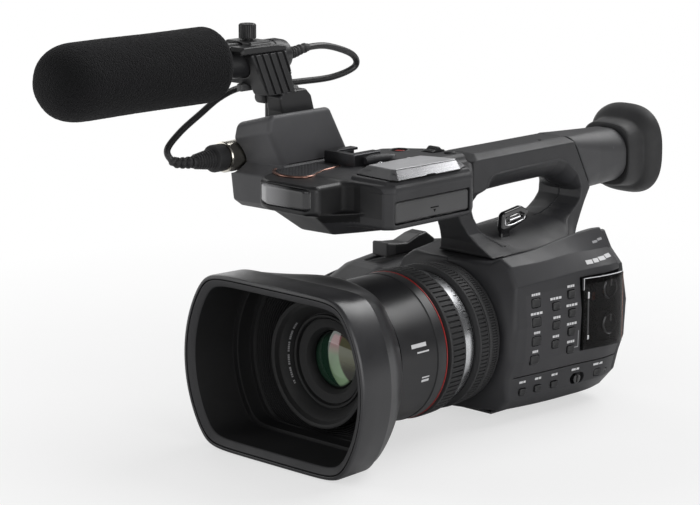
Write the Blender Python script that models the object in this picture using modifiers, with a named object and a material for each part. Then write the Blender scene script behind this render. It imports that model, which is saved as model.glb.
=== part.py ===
"""Hand-held professional camcorder, an assembly of separate pieces.

Working frame: millimetres, lens axis along Y through x = z = 0, lens pointing
to -Y. Left is +X (the key side), right is -X (the hand-grip side).
Finished frame: metres, +Z up, origin at the centre of the underside of the
base plate (the tripod face).
"""
import math
import bmesh
import bpy
from mathutils import Matrix, Vector

MM = 0.001

# ---------------------------------------------------------------- shared dimensions
LENS_AXIS_HEIGHT = 51.0      # lens axis above the tripod face
TRIPOD_Y = 102.0             # tripod face centre, behind the barrel's collar at y = 0
GAP = 0.3                    # clearance between neighbouring pieces
ROUND_STEPS = 32             # sides of the larger round pieces
BODY_FRONT = 49.3
BODY_REAR = 150.0

# rotations that turn +Z to the named direction
FORWARD = (math.radians(90), 0, 0)       # -Y
REARWARD = (math.radians(-90), 0, 0)     # +Y
UPWARD = (0, 0, 0)
LEFTWARD = (0, math.radians(90), 0)      # +X
RIGHTWARD = (0, math.radians(-90), 0)    # -X

# rotations that lay a flat outline in the named plane
PLANES = {
    "XY": Matrix.Identity(4),
    "YZ": Matrix(((0, 0, 1, 0), (1, 0, 0, 0), (0, 1, 0, 0), (0, 0, 0, 1))),
    "XZ": Matrix(((1, 0, 0, 0), (0, 0, -1, 0), (0, 1, 0, 0), (0, 0, 0, 1))),
}


def place(x, y, z):
    """Working millimetres to finished-frame metres."""
    return Vector((x, y - TRIPOD_Y, z + LENS_AXIS_HEIGHT)) * MM


# ---------------------------------------------------------------- scene
for old_object in list(bpy.data.objects):
    bpy.data.objects.remove(old_object, do_unlink=True)
for old_mesh in list(bpy.data.meshes):
    bpy.data.meshes.remove(old_mesh)
PARTS = bpy.data.collections.new("camcorder")
CUTTERS = bpy.data.collections.new("cutters")
for collection in (PARTS, CUTTERS):
    bpy.context.scene.collection.children.link(collection)


# ---------------------------------------------------------------- materials
def material(name, colour, roughness, metallic=0.0):
    mat = bpy.data.materials.new(name)
    mat.use_nodes = True
    inputs = mat.node_tree.nodes["Principled BSDF"].inputs
    inputs["Base Color"].default_value = (*colour, 1)
    inputs["Roughness"].default_value = roughness
    inputs["Metallic"].default_value = metallic
    mat.diffuse_color = (*colour, 1)
    return mat


BODY = material("body_plastic", colour=(0.045, 0.045, 0.048), roughness=0.55)
HANDLE = material("handle_plastic", colour=(0.05, 0.05, 0.053), roughness=0.5)
HOOD = material("hood_plastic", colour=(0.03, 0.03, 0.032), roughness=0.45)
BARREL = material("barrel_plastic", colour=(0.04, 0.04, 0.043), roughness=0.42)
RUBBER = material("ring_rubber", colour=(0.02, 0.02, 0.02), roughness=0.7)
METAL = material("brushed_metal", colour=(0.55, 0.56, 0.58), roughness=0.3, metallic=0.9)
GLASS = material("coated_glass", colour=(0.02, 0.05, 0.04), roughness=0.05)
SMOKE = material("smoked_window", colour=(0.01, 0.01, 0.01), roughness=0.08)
FOAM = material("foam", colour=(0.012, 0.012, 0.012), roughness=0.95)
STRAP = material("strap_fabric", colour=(0.02, 0.02, 0.022), roughness=0.85)
CABLE = material("cable_jacket", colour=(0.03, 0.03, 0.03), roughness=0.5)
GREY = material("light_grey_plastic", colour=(0.35, 0.35, 0.36), roughness=0.4)
KEY = material("key_plastic", colour=(0.03, 0.03, 0.032), roughness=0.4)
RED = material("red_key", colour=(0.5, 0.03, 0.02), roughness=0.4)
BOARD = material("circuit_board", colour=(0.02, 0.12, 0.05), roughness=0.6)


# ---------------------------------------------------------------- modelling helpers
# In all of them a piece with mat=None is a hidden helper for a boolean.
def finish(ob, mat, smooth=True):
    """Put the object in its collection; set its material and shading."""
    for coll in list(ob.users_collection):
        coll.objects.unlink(ob)
    if mat is None:
        CUTTERS.objects.link(ob)
        ob.hide_render = True
        ob.display_type = "WIRE"
    else:
        PARTS.objects.link(ob)
        ob.data.materials.append(mat)
    if smooth:
        ob.data.shade_smooth()
        ob.data.set_sharp_from_angle(angle=math.radians(35))
    return ob


def bevel(ob, width, segments=1, angle=35):
    mod = ob.modifiers.new("edge", "BEVEL")
    mod.width = width * MM
    mod.segments = segments
    mod.limit_method = "ANGLE"
    mod.angle_limit = math.radians(angle)


def boolean(ob, other, operation):
    mod = ob.modifiers.new(operation.lower(), "BOOLEAN")
    mod.object = other
    mod.operation = operation
    mod.solver = "EXACT"


def cut(ob, other):
    boolean(ob, other, "DIFFERENCE")


def join(ob, other):
    boolean(ob, other, "UNION")


def box(name, low, high, mat=None, edge=0.0, segments=1, turn=(0, 0, 0), origin=None):
    """Box from corner low to corner high; its origin is its centre unless given."""
    centre = place(*[(a + b) / 2 for a, b in zip(low, high)])
    bpy.ops.mesh.primitive_cube_add(size=1, location=(0, 0, 0))
    ob = bpy.context.active_object
    ob.name = ob.data.name = name
    ob.data.transform(Matrix.Diagonal([(b - a) * MM for a, b in zip(low, high)] + [1]))
    if origin is not None:
        ob.data.transform(Matrix.Translation(centre - place(*origin)))
        centre = place(*origin)
    ob.location = centre
    ob.rotation_euler = turn
    if edge:
        bevel(ob, edge, segments)
    return finish(ob, mat)


def turned(name, profile, mat=None, centre=(0, 0, 0), axis=FORWARD, steps=ROUND_STEPS):
    """Screw a profile of (radius, height along axis) about the axis.

    The profile runs down its outer side; one that starts off the axis is a
    closed loop, one that starts on it is left open there.
    """
    mesh = bpy.data.meshes.new(name)
    verts = [(radius * MM, 0, height * MM) for radius, height in profile]
    edges = [(i, i + 1) for i in range(len(verts) - 1)]
    if profile[0][0] > 0:
        edges.append((len(verts) - 1, 0))
    mesh.from_pydata(verts, edges, [])
    ob = bpy.data.objects.new(name, mesh)
    ob.location = place(*centre)
    ob.rotation_euler = axis
    mod = ob.modifiers.new("turn", "SCREW")
    mod.angle = math.tau
    mod.steps = mod.render_steps = steps
    mod.use_merge_vertices = True
    mod.merge_threshold = 0.00001
    mod.use_smooth_shade = True
    return finish(ob, mat, smooth=False)


def disc(radius, top, bottom):
    """Profile of a plain cylinder."""
    return [(0, top), (radius, top), (radius, bottom), (0, bottom)]


def button(flat_radius, top, radius, shoulder, base=0):
    """Profile of a cylinder chamfered from its flat top out to the shoulder height."""
    return [(0, top), (flat_radius, top), (radius, shoulder), (radius, base), (0, base)]


def skin(bm, rings, closed=False):
    """Quads between rings of equal length; returns the rings' vertices."""
    verts = [[bm.verts.new(point) for point in ring] for ring in rings]
    pairs = list(zip(verts, verts[1:]))
    if closed:
        pairs.append((verts[-1], verts[0]))
    count = len(rings[0])
    for a, b in pairs:
        for i in range(count):
            j = (i + 1) % count
            bm.faces.new((a[i], a[j], b[j], b[i]))
    return verts


def mesh_object(name, bm, mat, origin=(0, 0, 0)):
    """Object from a bmesh in working millimetres."""
    origin = place(*origin)
    for vert in bm.verts:
        vert.co = place(*vert.co) - origin
    bmesh.ops.recalc_face_normals(bm, faces=bm.faces)
    mesh = bpy.data.meshes.new(name)
    bm.to_mesh(mesh)
    bm.free()
    ob = bpy.data.objects.new(name, mesh)
    ob.location = origin
    return finish(ob, mat)


def loft(name, rings, mat=None, closed=False, origin=(0, 0, 0)):
    """Skin between rings; ends capped, or joined end to end when closed."""
    bm = bmesh.new()
    verts = skin(bm, rings, closed)
    if not closed:
        bm.faces.new(verts[0])
        bm.faces.new(list(reversed(verts[-1])))
    return mesh_object(name, bm, mat, origin)


def add_spline(curve, points):
    """Straight-sided spline through points (x, y, z) in metres."""
    spline = curve.splines.new("POLY")
    spline.points.add(len(points) - 1)
    for target, point in zip(spline.points, points):
        target.co = (*point, 1)
    return spline


def object_from_curve(curve, mat, turn=PLANES["XY"], shift=Vector((0, 0, 0))):
    """Turn the curve into a welded mesh, rotated by turn and moved by shift."""
    name = curve.name
    carrier = bpy.data.objects.new(name, curve)
    CUTTERS.objects.link(carrier)
    carrier.matrix_world = turn
    bpy.context.view_layer.update()
    evaluated = carrier.evaluated_get(bpy.context.evaluated_depsgraph_get())
    mesh = bpy.data.meshes.new_from_object(evaluated)
    mesh.transform(Matrix.Translation(shift) @ carrier.matrix_world)
    bpy.data.objects.remove(carrier)
    bm = bmesh.new()
    bm.from_mesh(mesh)
    bmesh.ops.remove_doubles(bm, verts=bm.verts, dist=1e-6)
    bmesh.ops.recalc_face_normals(bm, faces=bm.faces)
    bm.to_mesh(mesh)
    bm.free()
    mesh.name = name
    return finish(bpy.data.objects.new(name, mesh), mat)


def outline(name, loops, low, high, plane, mat=None, edge=0.0, segments=1, origin=(0, 0, 0)):
    """Filled loops in the plane, thickened from low to high across it."""
    curve = bpy.data.curves.new(name, "CURVE")
    curve.dimensions = "2D"
    curve.fill_mode = "BOTH"
    curve.extrude = (high - low) / 2 * MM
    for loop in loops:
        add_spline(curve, [(a * MM, b * MM, 0) for a, b in loop]).use_cyclic_u = True
    middle = PLANES[plane].col[2].to_3d() * ((low + high) / 2)
    if plane == "XZ":
        middle = -middle    # this plane's own normal points to -Y
    ob = object_from_curve(curve, mat, PLANES[plane], place(*middle) - place(*origin))
    ob.location = place(*origin)
    if edge:
        bevel(ob, edge, segments)
    return ob


def tube(name, points, radius, mat):
    """Capped round wire along points."""
    curve = bpy.data.curves.new(name, "CURVE")
    curve.dimensions = "3D"
    curve.bevel_depth = radius * MM
    curve.bevel_resolution = 2
    curve.use_fill_caps = True
    add_spline(curve, [place(*point) for point in points])
    return object_from_curve(curve, mat)


def catmull(points, samples):
    """Catmull-Rom path through control points, with samples per span."""
    knots = [Vector(point) for point in points]
    knots = [knots[0] * 2 - knots[1]] + knots + [knots[-1] * 2 - knots[-2]]
    path = []
    for a, b, c, d in zip(knots, knots[1:], knots[2:], knots[3:]):
        for k in range(samples):
            t = k / samples
            path.append(0.5 * ((2 * b) + (c - a) * t + (2 * a - 5 * b + 4 * c - d) * t * t
                               + (3 * b - 3 * c + d - a) * t ** 3))
    path.append(knots[-2])
    return path


def rounded(centre_x, centre_z, half_width, half_height, radius):
    """Rounded rectangle in the XZ plane, three points a corner."""
    points = []
    for side_x, side_z, start in ((1, 1, 0), (-1, 1, 90), (-1, -1, 180), (1, -1, 270)):
        for step in (0, 45, 90):
            angle = math.radians(start + step)
            points.append((centre_x + side_x * (half_width - radius) + radius * math.cos(angle),
                           centre_z + side_z * (half_height - radius) + radius * math.sin(angle)))
    return points


def ring_at(y, points):
    return [(x, y, z) for x, z in points]


# ---------------------------------------------------------------- body casing
# Half-sections {y: [(distance from the middle plane, z)]}, from the middle of
# the top, over the shoulder and the side, to the middle of the bottom.
FRONT_SECTION = [(0, 46), (14, 44.6), (27, 38.5), (36, 30.2), (43, 19), (47, 0),
                 (45.8, -10.5), (42, -21), (33, -33.5), (20, -42.5), (0, -47)]
LEFT_SECTIONS = {
    BODY_FRONT: FRONT_SECTION,
    58.0: [(0, 47), (30.9, 46.6), (33, 45), (42, 40.5), (48.5, 30), (50.5, 8),
           (49.5, -13), (46, -24), (44.5, -38), (37.5, -45.5), (0, -48)],
    85.0: [(0, 47), (30.9, 47), (35, 50), (45.5, 45), (51.5, 34), (53.5, 10),
           (52.5, -14), (49, -24), (48, -38), (41, -46), (0, -48.7)],
    111.0: [(0, 47), (30.9, 47), (37, 54), (46.5, 45.5), (53.5, 35.5), (56, 12),
            (55, -14), (51.5, -23), (50, -37), (43, -46), (0, -48.7)],
    140.0: [(0, 47), (30.9, 47), (40, 58), (47, 44.5), (56, 36), (60, 12),
            (58.5, -12), (54.5, -22.5), (51.5, -36), (43, -45.5), (0, -48.7)],
    BODY_REAR: [(0, 47), (30.9, 47), (38, 57), (45, 44), (54, 35), (58, 12),
                (56.5, -12), (52.5, -23), (49, -36), (41, -45), (0, -48.7)],
}
RIGHT_SECTIONS = {
    BODY_FRONT: FRONT_SECTION,
    60.0: [(0, 47), (30.9, 46.6), (33, 45), (41, 40), (46, 28), (47, 8),
           (47, -13), (46, -24), (44.5, -38), (37.5, -45.5), (0, -48)],
    110.0: [(0, 47), (30.9, 47), (36, 52), (44, 45), (48, 33), (49, 10),
            (49, -14), (48, -24), (46, -38), (39, -46), (0, -48.7)],
    BODY_REAR: [(0, 47), (30.9, 47), (37, 55), (43, 45), (47, 34), (48, 12),
                (48, -12), (47, -23), (45, -36), (38, -45), (0, -48.7)],
}
SEAM = 0.15                  # each half stops this far from the middle plane

# {y: (centre x, centre z, half width, half height, corner radius)}
GRIP_SECTIONS = {
    16.0: (-71, -3, 12, 16, 7), 27.0: (-71, -3, 19, 26, 10),
    50.0: (-69.5, -3, 25, 34.5, 13), 80.0: (-69, -2.5, 26.5, 37, 14),
    125.0: (-68.5, -3, 26, 38, 14), 149.7: (-67, -3, 22, 35, 12),
}


def inner_wall(outer, side_wall):
    """Inside of a half-section: thick at the shoulder, side_wall at the side."""
    last = len(outer) - 1
    inner = []
    for i, (x, z) in enumerate(outer):
        if i == 0:
            inner.append((SEAM, z - 3))
        elif i == last:
            inner.append((SEAM, z + 3))
        elif i < 3:
            inner.append((x - 0.5, z - 5))
        else:
            wall = side_wall if i <= 8 else 3.5
            shrink = (abs(z) - 3.2) / max(abs(z), 3.3)
            inner.append((max(x - wall, 1.0), z * max(shrink, 0.2)))
    return inner


def half_shell(name, sections, side, side_wall):
    """Hollow half casing, open at both ends and along the middle plane's seam."""
    rings = []
    for y, section in sections.items():
        outer = [(max(x, SEAM), z) for x, z in section]
        loop = outer + inner_wall(outer, side_wall(y))[::-1]
        rings.append([(side * x, y, z) for x, z in loop])
    bm = bmesh.new()
    verts = skin(bm, rings)
    count = len(rings[0])
    # close the wall's thickness at the front and rear ends
    for ring in (verts[0], verts[-1]):
        for i in range(count // 2 - 1):
            bm.faces.new((ring[i], ring[i + 1], ring[count - 2 - i], ring[count - 1 - i]))
    return mesh_object(name, bm, BODY)


def right_shell_with_grip():
    shell = half_shell("right_shell", RIGHT_SECTIONS, -1, lambda y: 4.0)
    rings = [ring_at(y, rounded(*size)) for y, size in GRIP_SECTIONS.items()]
    join(shell, loft("grip_body", rings))
    return shell


# ---------------------------------------------------------------- keys on the left side
PANEL_TURN = math.radians(-5.0)      # the key panel widens towards the rear
LOW_TILT = math.radians(7.0)         # the lower band faces slightly down
KEY_PROUD = 0.9
KEY_SUNK = 2.1
POCKET_HALF_DEPTH = 3.4
# (name, centre y, centre z, surface x, width along y, height along z)
PANEL_KEYS = [
    ("button_1a", 72.4, 22.0, 51.3, 7.2, 5.4), ("button_1b", 72.4, 10.3, 52.0, 7.2, 5.4),
    ("button_1c", 72.8, -1.7, 51.8, 7.2, 5.4), ("button_1d", 72.2, -13.6, 51.1, 7.2, 5.4),
    ("button_2a", 89.5, 17.5, 53.4, 6.0, 4.6), ("button_2b", 89.5, 5.7, 53.7, 6.0, 4.6),
    ("button_2c", 89.4, -6.3, 53.3, 6.0, 4.6),
    ("button_3a", 103.0, 23.0, 54.3, 6.0, 4.6), ("button_3b", 103.0, 11.3, 55.2, 6.0, 4.6),
    ("button_3c", 103.0, -0.4, 54.9, 6.0, 4.6), ("button_3d", 102.8, -11.9, 54.4, 6.0, 4.6),
]
LOW_KEYS = [
    ("user_button_1", 67.2, -33.7, 46.2, 5.6, 4.0), ("user_button_2", 79.8, -33.6, 47.7, 5.6, 4.0),
    ("user_button_3", 94.0, -33.5, 49.0, 5.6, 4.0), ("quick_button", 132.0, -32.2, 51.9, 5.6, 4.4),
]
SWITCH_X, SWITCH_Y, SWITCH_Z = 50.7, 114.6, -33.3
SWITCH_SLOT = (12.4, 6.8)            # along y, along z


def key_box(name, x_span, y, z, width, height, tilt, mat=None, edge=0.0):
    low = (x_span[0], y - width / 2, z - height / 2)
    high = (x_span[1], y + width / 2, z + height / 2)
    return box(name, low, high, mat, edge, turn=(0, tilt, PANEL_TURN))


def cut_pocket(shell, name, x, y, z, width, height, tilt):
    span = (x - POCKET_HALF_DEPTH, x + POCKET_HALF_DEPTH)
    cut(shell, key_box(name + "_pocket", span, y, z, width, height, tilt))


def build_keys(shell):
    for keys, tilt in ((PANEL_KEYS, 0.0), (LOW_KEYS, LOW_TILT)):
        for name, y, z, x, width, height in keys:
            cut_pocket(shell, name, x, y, z, width + 2 * GAP, height + 2 * GAP, tilt)
            span = (x - KEY_SUNK, x + KEY_PROUD)
            key_box(name, span, y, z, width, height, tilt, KEY, edge=0.5)


def build_mode_switch(shell):
    """Round switch on the lower band, in a slot it can slide along."""
    cut_pocket(shell, "mode_switch", SWITCH_X, SWITCH_Y, SWITCH_Z, *SWITCH_SLOT, LOW_TILT)
    turned("mode_switch", button(2.4, 3.1, 3.0, 2.5), KEY, (SWITCH_X - 2.6, SWITCH_Y, SWITCH_Z),
           (0, math.radians(90) + LOW_TILT, PANEL_TURN), steps=16)


# ---------------------------------------------------------------- audio level door and knobs
DOOR_FRONT, DOOR_REAR, DOOR_BOTTOM, DOOR_TOP = 112.6, 148.6, -14.0, 31.5
DOOR_THICK = 2.0
# outer face: (y, x)
DOOR_FACE = [(DOOR_FRONT, 56.6), (122, 58.9), (131, 60.4), (140, 60.9), (145, 60.3),
             (DOOR_REAR, 58.9)]
POCKET_FLOOR_X = 49.2
KNOB_Y = 140.2


def build_audio_controls(shell):
    """Curved smoked door over a pocket with two knobs."""
    cut(shell, box("audio_pocket", (POCKET_FLOOR_X, DOOR_FRONT - 1.4, DOOR_BOTTOM - 0.6),
                   (70, DOOR_REAR + 0.6, DOOR_TOP + 0.6)))
    loop = [(x, y) for y, x in DOOR_FACE] + [(x - DOOR_THICK, y) for y, x in DOOR_FACE[::-1]]
    outline("audio_door", [loop], DOOR_BOTTOM, DOOR_TOP, "XY", SMOKE, edge=0.5,
            origin=(55.8, DOOR_FRONT + 0.6, 10))
    for name, z in (("audio_knob_1", 21.0), ("audio_knob_2", -1.5)):
        turned(name, button(6.2, 7.6, 7.0, 6.8, base=0.8), KEY,
               (POCKET_FLOOR_X - 0.3, KNOB_Y, z), LEFTWARD, steps=24)


# ---------------------------------------------------------------- base and rear
BASE_HALF_W, BASE_HALF_L = 26, 40
CARD_X = (25.4, 43.1)                # card door recess
CARD_Z = (-30.6, 28.6)


def build_base():
    box("base_plate", (-BASE_HALF_W, TRIPOD_Y - BASE_HALF_L, -LENS_AXIS_HEIGHT),
        (BASE_HALF_W, TRIPOD_Y + BASE_HALF_L, -49.0), BODY, edge=0.5)


def build_rear():
    """Rear cover, following the casing's rear outline, with card door and battery."""
    left_half, right_half = [[(side * x * 0.975, z * 0.97) for x, z in sections[BODY_REAR][1:-1]]
                             for side, sections in ((1, LEFT_SECTIONS), (-1, RIGHT_SECTIONS))]
    section = [(0, 46.5)] + left_half + [(0, -47.5)] + right_half[::-1]
    rim = [(x * 0.95, z * 0.95) for x, z in section]
    rings = [ring_at(BODY_REAR + GAP, section), ring_at(154.0, section), ring_at(156.0, rim)]
    cover = loft("rear_cover", rings, BODY)
    cut(cover, box("card_recess", (CARD_X[0], 152.6, CARD_Z[0]), (CARD_X[1], 160, CARD_Z[1])))
    box("card_door", (CARD_X[0] + GAP, 153.0, CARD_Z[0] + GAP),
        (CARD_X[1] - GAP, 157.0, CARD_Z[1] - GAP), BODY, edge=0.6, origin=(42.0, 156.2, -1))
    box("battery", (-34, 156.3, -40), (21, 176, 26), KEY, edge=2.0, segments=2)


# ---------------------------------------------------------------- optics and rings
BARREL_R = 45.0
BARREL_FRONT = 64.6          # ahead of the collar's rear face
THREAD_R = 36.4              # filter thread
SLEEVE_R = 38.2              # fixed sleeve under the rings
SLEEVE_REAR = -49.0
SLEEVE_BORE = 34.6
RING_BORE = SLEEVE_R + 0.4
GLASS_R = 17.5
# (name, front y, rear y, front radius, rear radius, chamfer, material)
LENS_RINGS = [
    ("focus_ring", 2.6, 16.3, 45.9, 45.4, 0.8, RUBBER),
    ("scale_ring", 16.9, 28.9, 43.9, 41.1, 0.5, METAL),
    ("zoom_ring", 29.6, 38.0, 44.9, 44.9, 0.8, RUBBER),
    ("iris_ring", 39.0, 48.6, 44.2, 43.9, 0.8, RUBBER),
]


def build_optics():
    turned("lens_barrel", [
        (38.5, BARREL_FRONT), (38.5, 38.4), (44.1, 38.4), (44.4, 9.0), (BARREL_R, 8.4),
        (BARREL_R, 0.6), (44.2, 0.0), (SLEEVE_R, 0.0), (SLEEVE_R, SLEEVE_REAR),
        (SLEEVE_BORE, SLEEVE_REAR), (SLEEVE_BORE, 42.0), (GLASS_R + GAP, 42.0),
        (GLASS_R + GAP, 50.0), (28.0, 54.5), (THREAD_R, BARREL_FRONT)], BARREL)
    turned("front_element", [(0, 51.6), (8, 50.9), (14, 49.6), (GLASS_R, 48.3),
                             (GLASS_R, 43.0), (0, 43.0)], GLASS)
    turned("zoom_lens_group", [
        (0, 38), (24, 38), (28, 36), (34.2, 34), (34.2, 26), (27, 24), (27, 4),
        (34.2, 2), (34.2, -10), (22, -14), (0, -14)], BARREL, steps=28)
    box("sensor_prism", (-17, 15, -15), (17, 44, 15), GLASS, edge=1.0)
    box("main_board", (-9.2, 60, -34), (-7.2, 142, 36), BOARD)


def build_lens_rings():
    for name, front, rear, front_r, rear_r, chamfer, mat in LENS_RINGS:
        turned(name, [(front_r - chamfer, -front), (front_r, -front - chamfer),
                      (rear_r, -rear + chamfer), (rear_r - chamfer, -rear),
                      (RING_BORE, -rear), (RING_BORE, -front)], mat)


# ---------------------------------------------------------------- hood
HOOD_FRONT = -102.6
HOOD_REAR = -38.7
HOOD_HALF_W = 74.0
HOOD_HALF_H = 53.4
HOOD_SIDE_R = 80.0           # radius of the bulged sides at full width
HOOD_BORE = 38.9
HOOD_CORNER = 18             # blend exponent: higher is a sharper corner
HOOD_POINTS = 40
# (y, half width, half height, blend): blend 1 is the bulged rectangle, 0 a
# circle of the half width's radius
HOOD_STATIONS = [
    # outer skin, rear to front
    (HOOD_REAR, 44.1, 44.1, 0), (-46, 50.0, 45.5, 0.35), (-60, 63.0, 49.0, 0.85),
    (-72, 70.5, 51.5, 1), (-80, 73.0, 52.9, 1), (-101.8, HOOD_HALF_W, HOOD_HALF_H, 1),
    # front rim
    (HOOD_FRONT, HOOD_HALF_W - 0.8, HOOD_HALF_H - 0.8, 1), (HOOD_FRONT, 70.8, 50.2, 1),
    # inner skin, front to rear
    (-101.2, 69.5, 49.0, 1), (-70, 65.5, 46.5, 1), (-69, 60.0, 44.0, 1),
    (-52, 55.5, 42.6, 0.9), (-51, 47.0, 41.5, 0.4), (-46.5, HOOD_BORE, HOOD_BORE, 0),
    (HOOD_REAR, HOOD_BORE, HOOD_BORE, 0),
]


def bulged_radius(angle, half_width, half_height):
    """Distance from the lens axis to a bulged rectangle at a polar angle."""
    side_r = HOOD_SIDE_R * half_width / HOOD_HALF_W
    offset = side_r - half_width           # centre of the side arc beyond the axis
    along = offset * abs(math.cos(angle))
    side = -along + math.sqrt(along * along + side_r * side_r - offset * offset)
    top = half_height / abs(math.sin(angle))
    return (side ** -HOOD_CORNER + top ** -HOOD_CORNER) ** (-1.0 / HOOD_CORNER)


def hood_ring(y, half_width, half_height, blend):
    ring = []
    for i in range(HOOD_POINTS):
        angle = math.tau * (i + 0.5) / HOOD_POINTS
        radius = (blend * bulged_radius(angle, half_width, half_height)
                  + (1 - blend) * half_width)
        ring.append((radius * math.cos(angle), y, radius * math.sin(angle)))
    return ring


def build_hood():
    loft("lens_hood", [hood_ring(*station) for station in HOOD_STATIONS], HOOD, closed=True)


# ---------------------------------------------------------------- handle
HANDLE_HALF_W = 17.0
HANDLE_TOP = 110.6
# side view of bar and rear leg: (y, z)
HANDLE_SIDE = [
    (53.3, 93), (53.3, 106), (60, HANDLE_TOP), (145.2, HANDLE_TOP), (148.4, 103.4),
    (156.8, 90.4), (164.8, 78), (160, 70), (157, 61), (157, 50), (146, 50), (142, 54),
    (148, 61), (153, 70), (153.5, 82), (147, 91), (139, 93)]
# (z, half width, y of the narrow front, y where full width starts, rear y)
LEG_STATIONS = [
    (50.0, 22, 52, 62, 74), (58, 18, 48, 59, 66), (70, 17, 44, 54, 61),
    (80.3, 16, 43, 52, 62), (80.6, 16, 53.6, 53.6, 64), (97, 16, 53.6, 53.6, 64)]
LEG_FRONT_HALF_W = 8
# (y, half width, top z)
SADDLE_STATIONS = [(56.0, 24, 56), (64.0, 30.3, 60), (100.0, 30.3, 62), (140.0, 30.3, 60),
                   (157.4, 24, 56)]
LUG_X, LUG_Y, LUG_Z = 23.6, 88.0, 60.5
LUG_HALF_THICK = 1.6
# (y, z) from the lug's foot
LUG_OUTER = [(-11.5, 0), (11.5, 0), (11.5, 9.5), (8.5, 12.5), (-8.5, 12.5), (-11.5, 9.5)]
LUG_INNER = [(-8.6, 2.8), (8.6, 2.8), (8.6, 8.6), (7.4, 9.7), (-7.4, 9.7), (-8.6, 8.6)]


def leg_ring(z, half_w, front, full, rear):
    nose = LEG_FRONT_HALF_W
    return [(-nose, front, z), (nose, front, z), (half_w, full, z),
            (half_w, rear, z), (-half_w, rear, z), (-half_w, full, z)]


def saddle_ring(y, half_w, top):
    return [(-half_w, y, 47.3), (half_w, y, 47.3), (half_w, y, 49.5),
            (half_w * 0.72, y, top - 4), (half_w * 0.4, y, top), (-half_w * 0.4, y, top),
            (-half_w * 0.72, y, top - 4), (-half_w, y, 49.5)]


def build_handle():
    """Bar with front and rear legs, which a saddle joins above the casing."""
    handle = outline("handle", [HANDLE_SIDE], -HANDLE_HALF_W, HANDLE_HALF_W, "YZ", HANDLE,
                     edge=5.0, segments=2)
    join(handle, loft("front_leg", [leg_ring(*station) for station in LEG_STATIONS]))
    join(handle, loft("saddle", [saddle_ring(*station) for station in SADDLE_STATIONS]))


def build_strap_lug():
    """Upright rectangular wire loop on the casing top, left of the middle."""
    loops = [[(LUG_Y + y, LUG_Z + z) for y, z in loop] for loop in (LUG_OUTER, LUG_INNER)]
    outline("strap_lug", loops, LUG_X - LUG_HALF_THICK, LUG_X + LUG_HALF_THICK, "YZ", METAL,
            edge=0.6)


# ---------------------------------------------------------------- top housing
# plan view: (x, y)
HOUSING_PLAN = [
    (-49, -54), (-42, -68), (-30, -77), (2, -76), (7, -71), (7, -54), (13, -47), (34, -44),
    (38, -39), (38, 28), (30, 38), (18.5, 50), (17.5, 53.0), (-17.5, 53.0), (-18.5, 50),
    (-30, 42), (-48, 34), (-52, 20), (-52, -40)]
# (z, plan points)
KEEL_STATIONS = [
    (86.0, [(-44, -52), (-30, -66), (0, -64), (20, -38), (26, -10), (24, 30), (-30, 34),
            (-44, 10)]),
    (74.5, [(-34, -44), (-26, -50), (-2, -48), (4, -34), (12, -12), (14, 18), (-22, 20),
            (-30, 0)])]
SLAB_PLAN = [(15, -40), (36, -38.5), (37.5, 15), (22, 18), (15, 8)]
LCD_FRONT, LCD_REAR, LCD_BOTTOM, LCD_TOP = -38.0, 26.0, 84.6, 97.6
BAY_GAP = 0.4                        # round the screen panel and the light window
SCREEN_X = (-38.5, 31.5)             # screen recess in the panel's underside
SCREEN_Y = (-33.3, 19.3)
LIGHT_X = (-38, 3.2)                 # light window recess
LIGHT_Z = (87, 104)
HANDLE_REC_AT = (-25, 33, 106.0)


def build_screen(housing):
    """Pull-out screen panel in a bay open towards +X."""
    cut(housing, box("screen_bay", (-46, LCD_FRONT - BAY_GAP, LCD_BOTTOM - BAY_GAP),
                     (60, LCD_REAR + BAY_GAP, LCD_TOP + BAY_GAP)))
    panel = box("lcd_panel", (-44.5, LCD_FRONT, LCD_BOTTOM), (37.6, LCD_REAR, LCD_TOP), KEY,
                edge=1.2, segments=2)
    cut(panel, box("screen_recess", (SCREEN_X[0], SCREEN_Y[0], 80),
                   (SCREEN_X[1], SCREEN_Y[1], 87.9)))
    box("lcd_screen", (SCREEN_X[0] + GAP, SCREEN_Y[0] + GAP, 85.4),
        (SCREEN_X[1] - GAP, SCREEN_Y[1] - GAP, 87.6), SMOKE)


def build_light(housing):
    """Video light window let into the front of the housing."""
    cut(housing, box("light_recess", (LIGHT_X[0], -90, LIGHT_Z[0]),
                     (LIGHT_X[1], -73.2, LIGHT_Z[1])))
    x0, x1 = LIGHT_X[0] + BAY_GAP, LIGHT_X[1] - BAY_GAP
    z0, z1 = LIGHT_Z[0] + BAY_GAP, LIGHT_Z[1] - BAY_GAP
    outline("light_window", [[(x0, z0), (x1, z0), (x1, z1), (x0, z1)]], -76.6, -73.6, "XZ",
            GREY, edge=0.6)


def build_shoe():
    """Accessory shoe: a plate with two turned-in rails."""
    shoe = box("accessory_shoe", (-44, -18, 107.3), (-20, 5, 114.0), METAL)
    cut(shoe, box("shoe_slot", (-41.4, -30, 109.6), (-22.6, 20, 112.2)))
    cut(shoe, box("shoe_mouth", (-38.4, -30, 111.6), (-25.6, 20, 120)))


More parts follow.
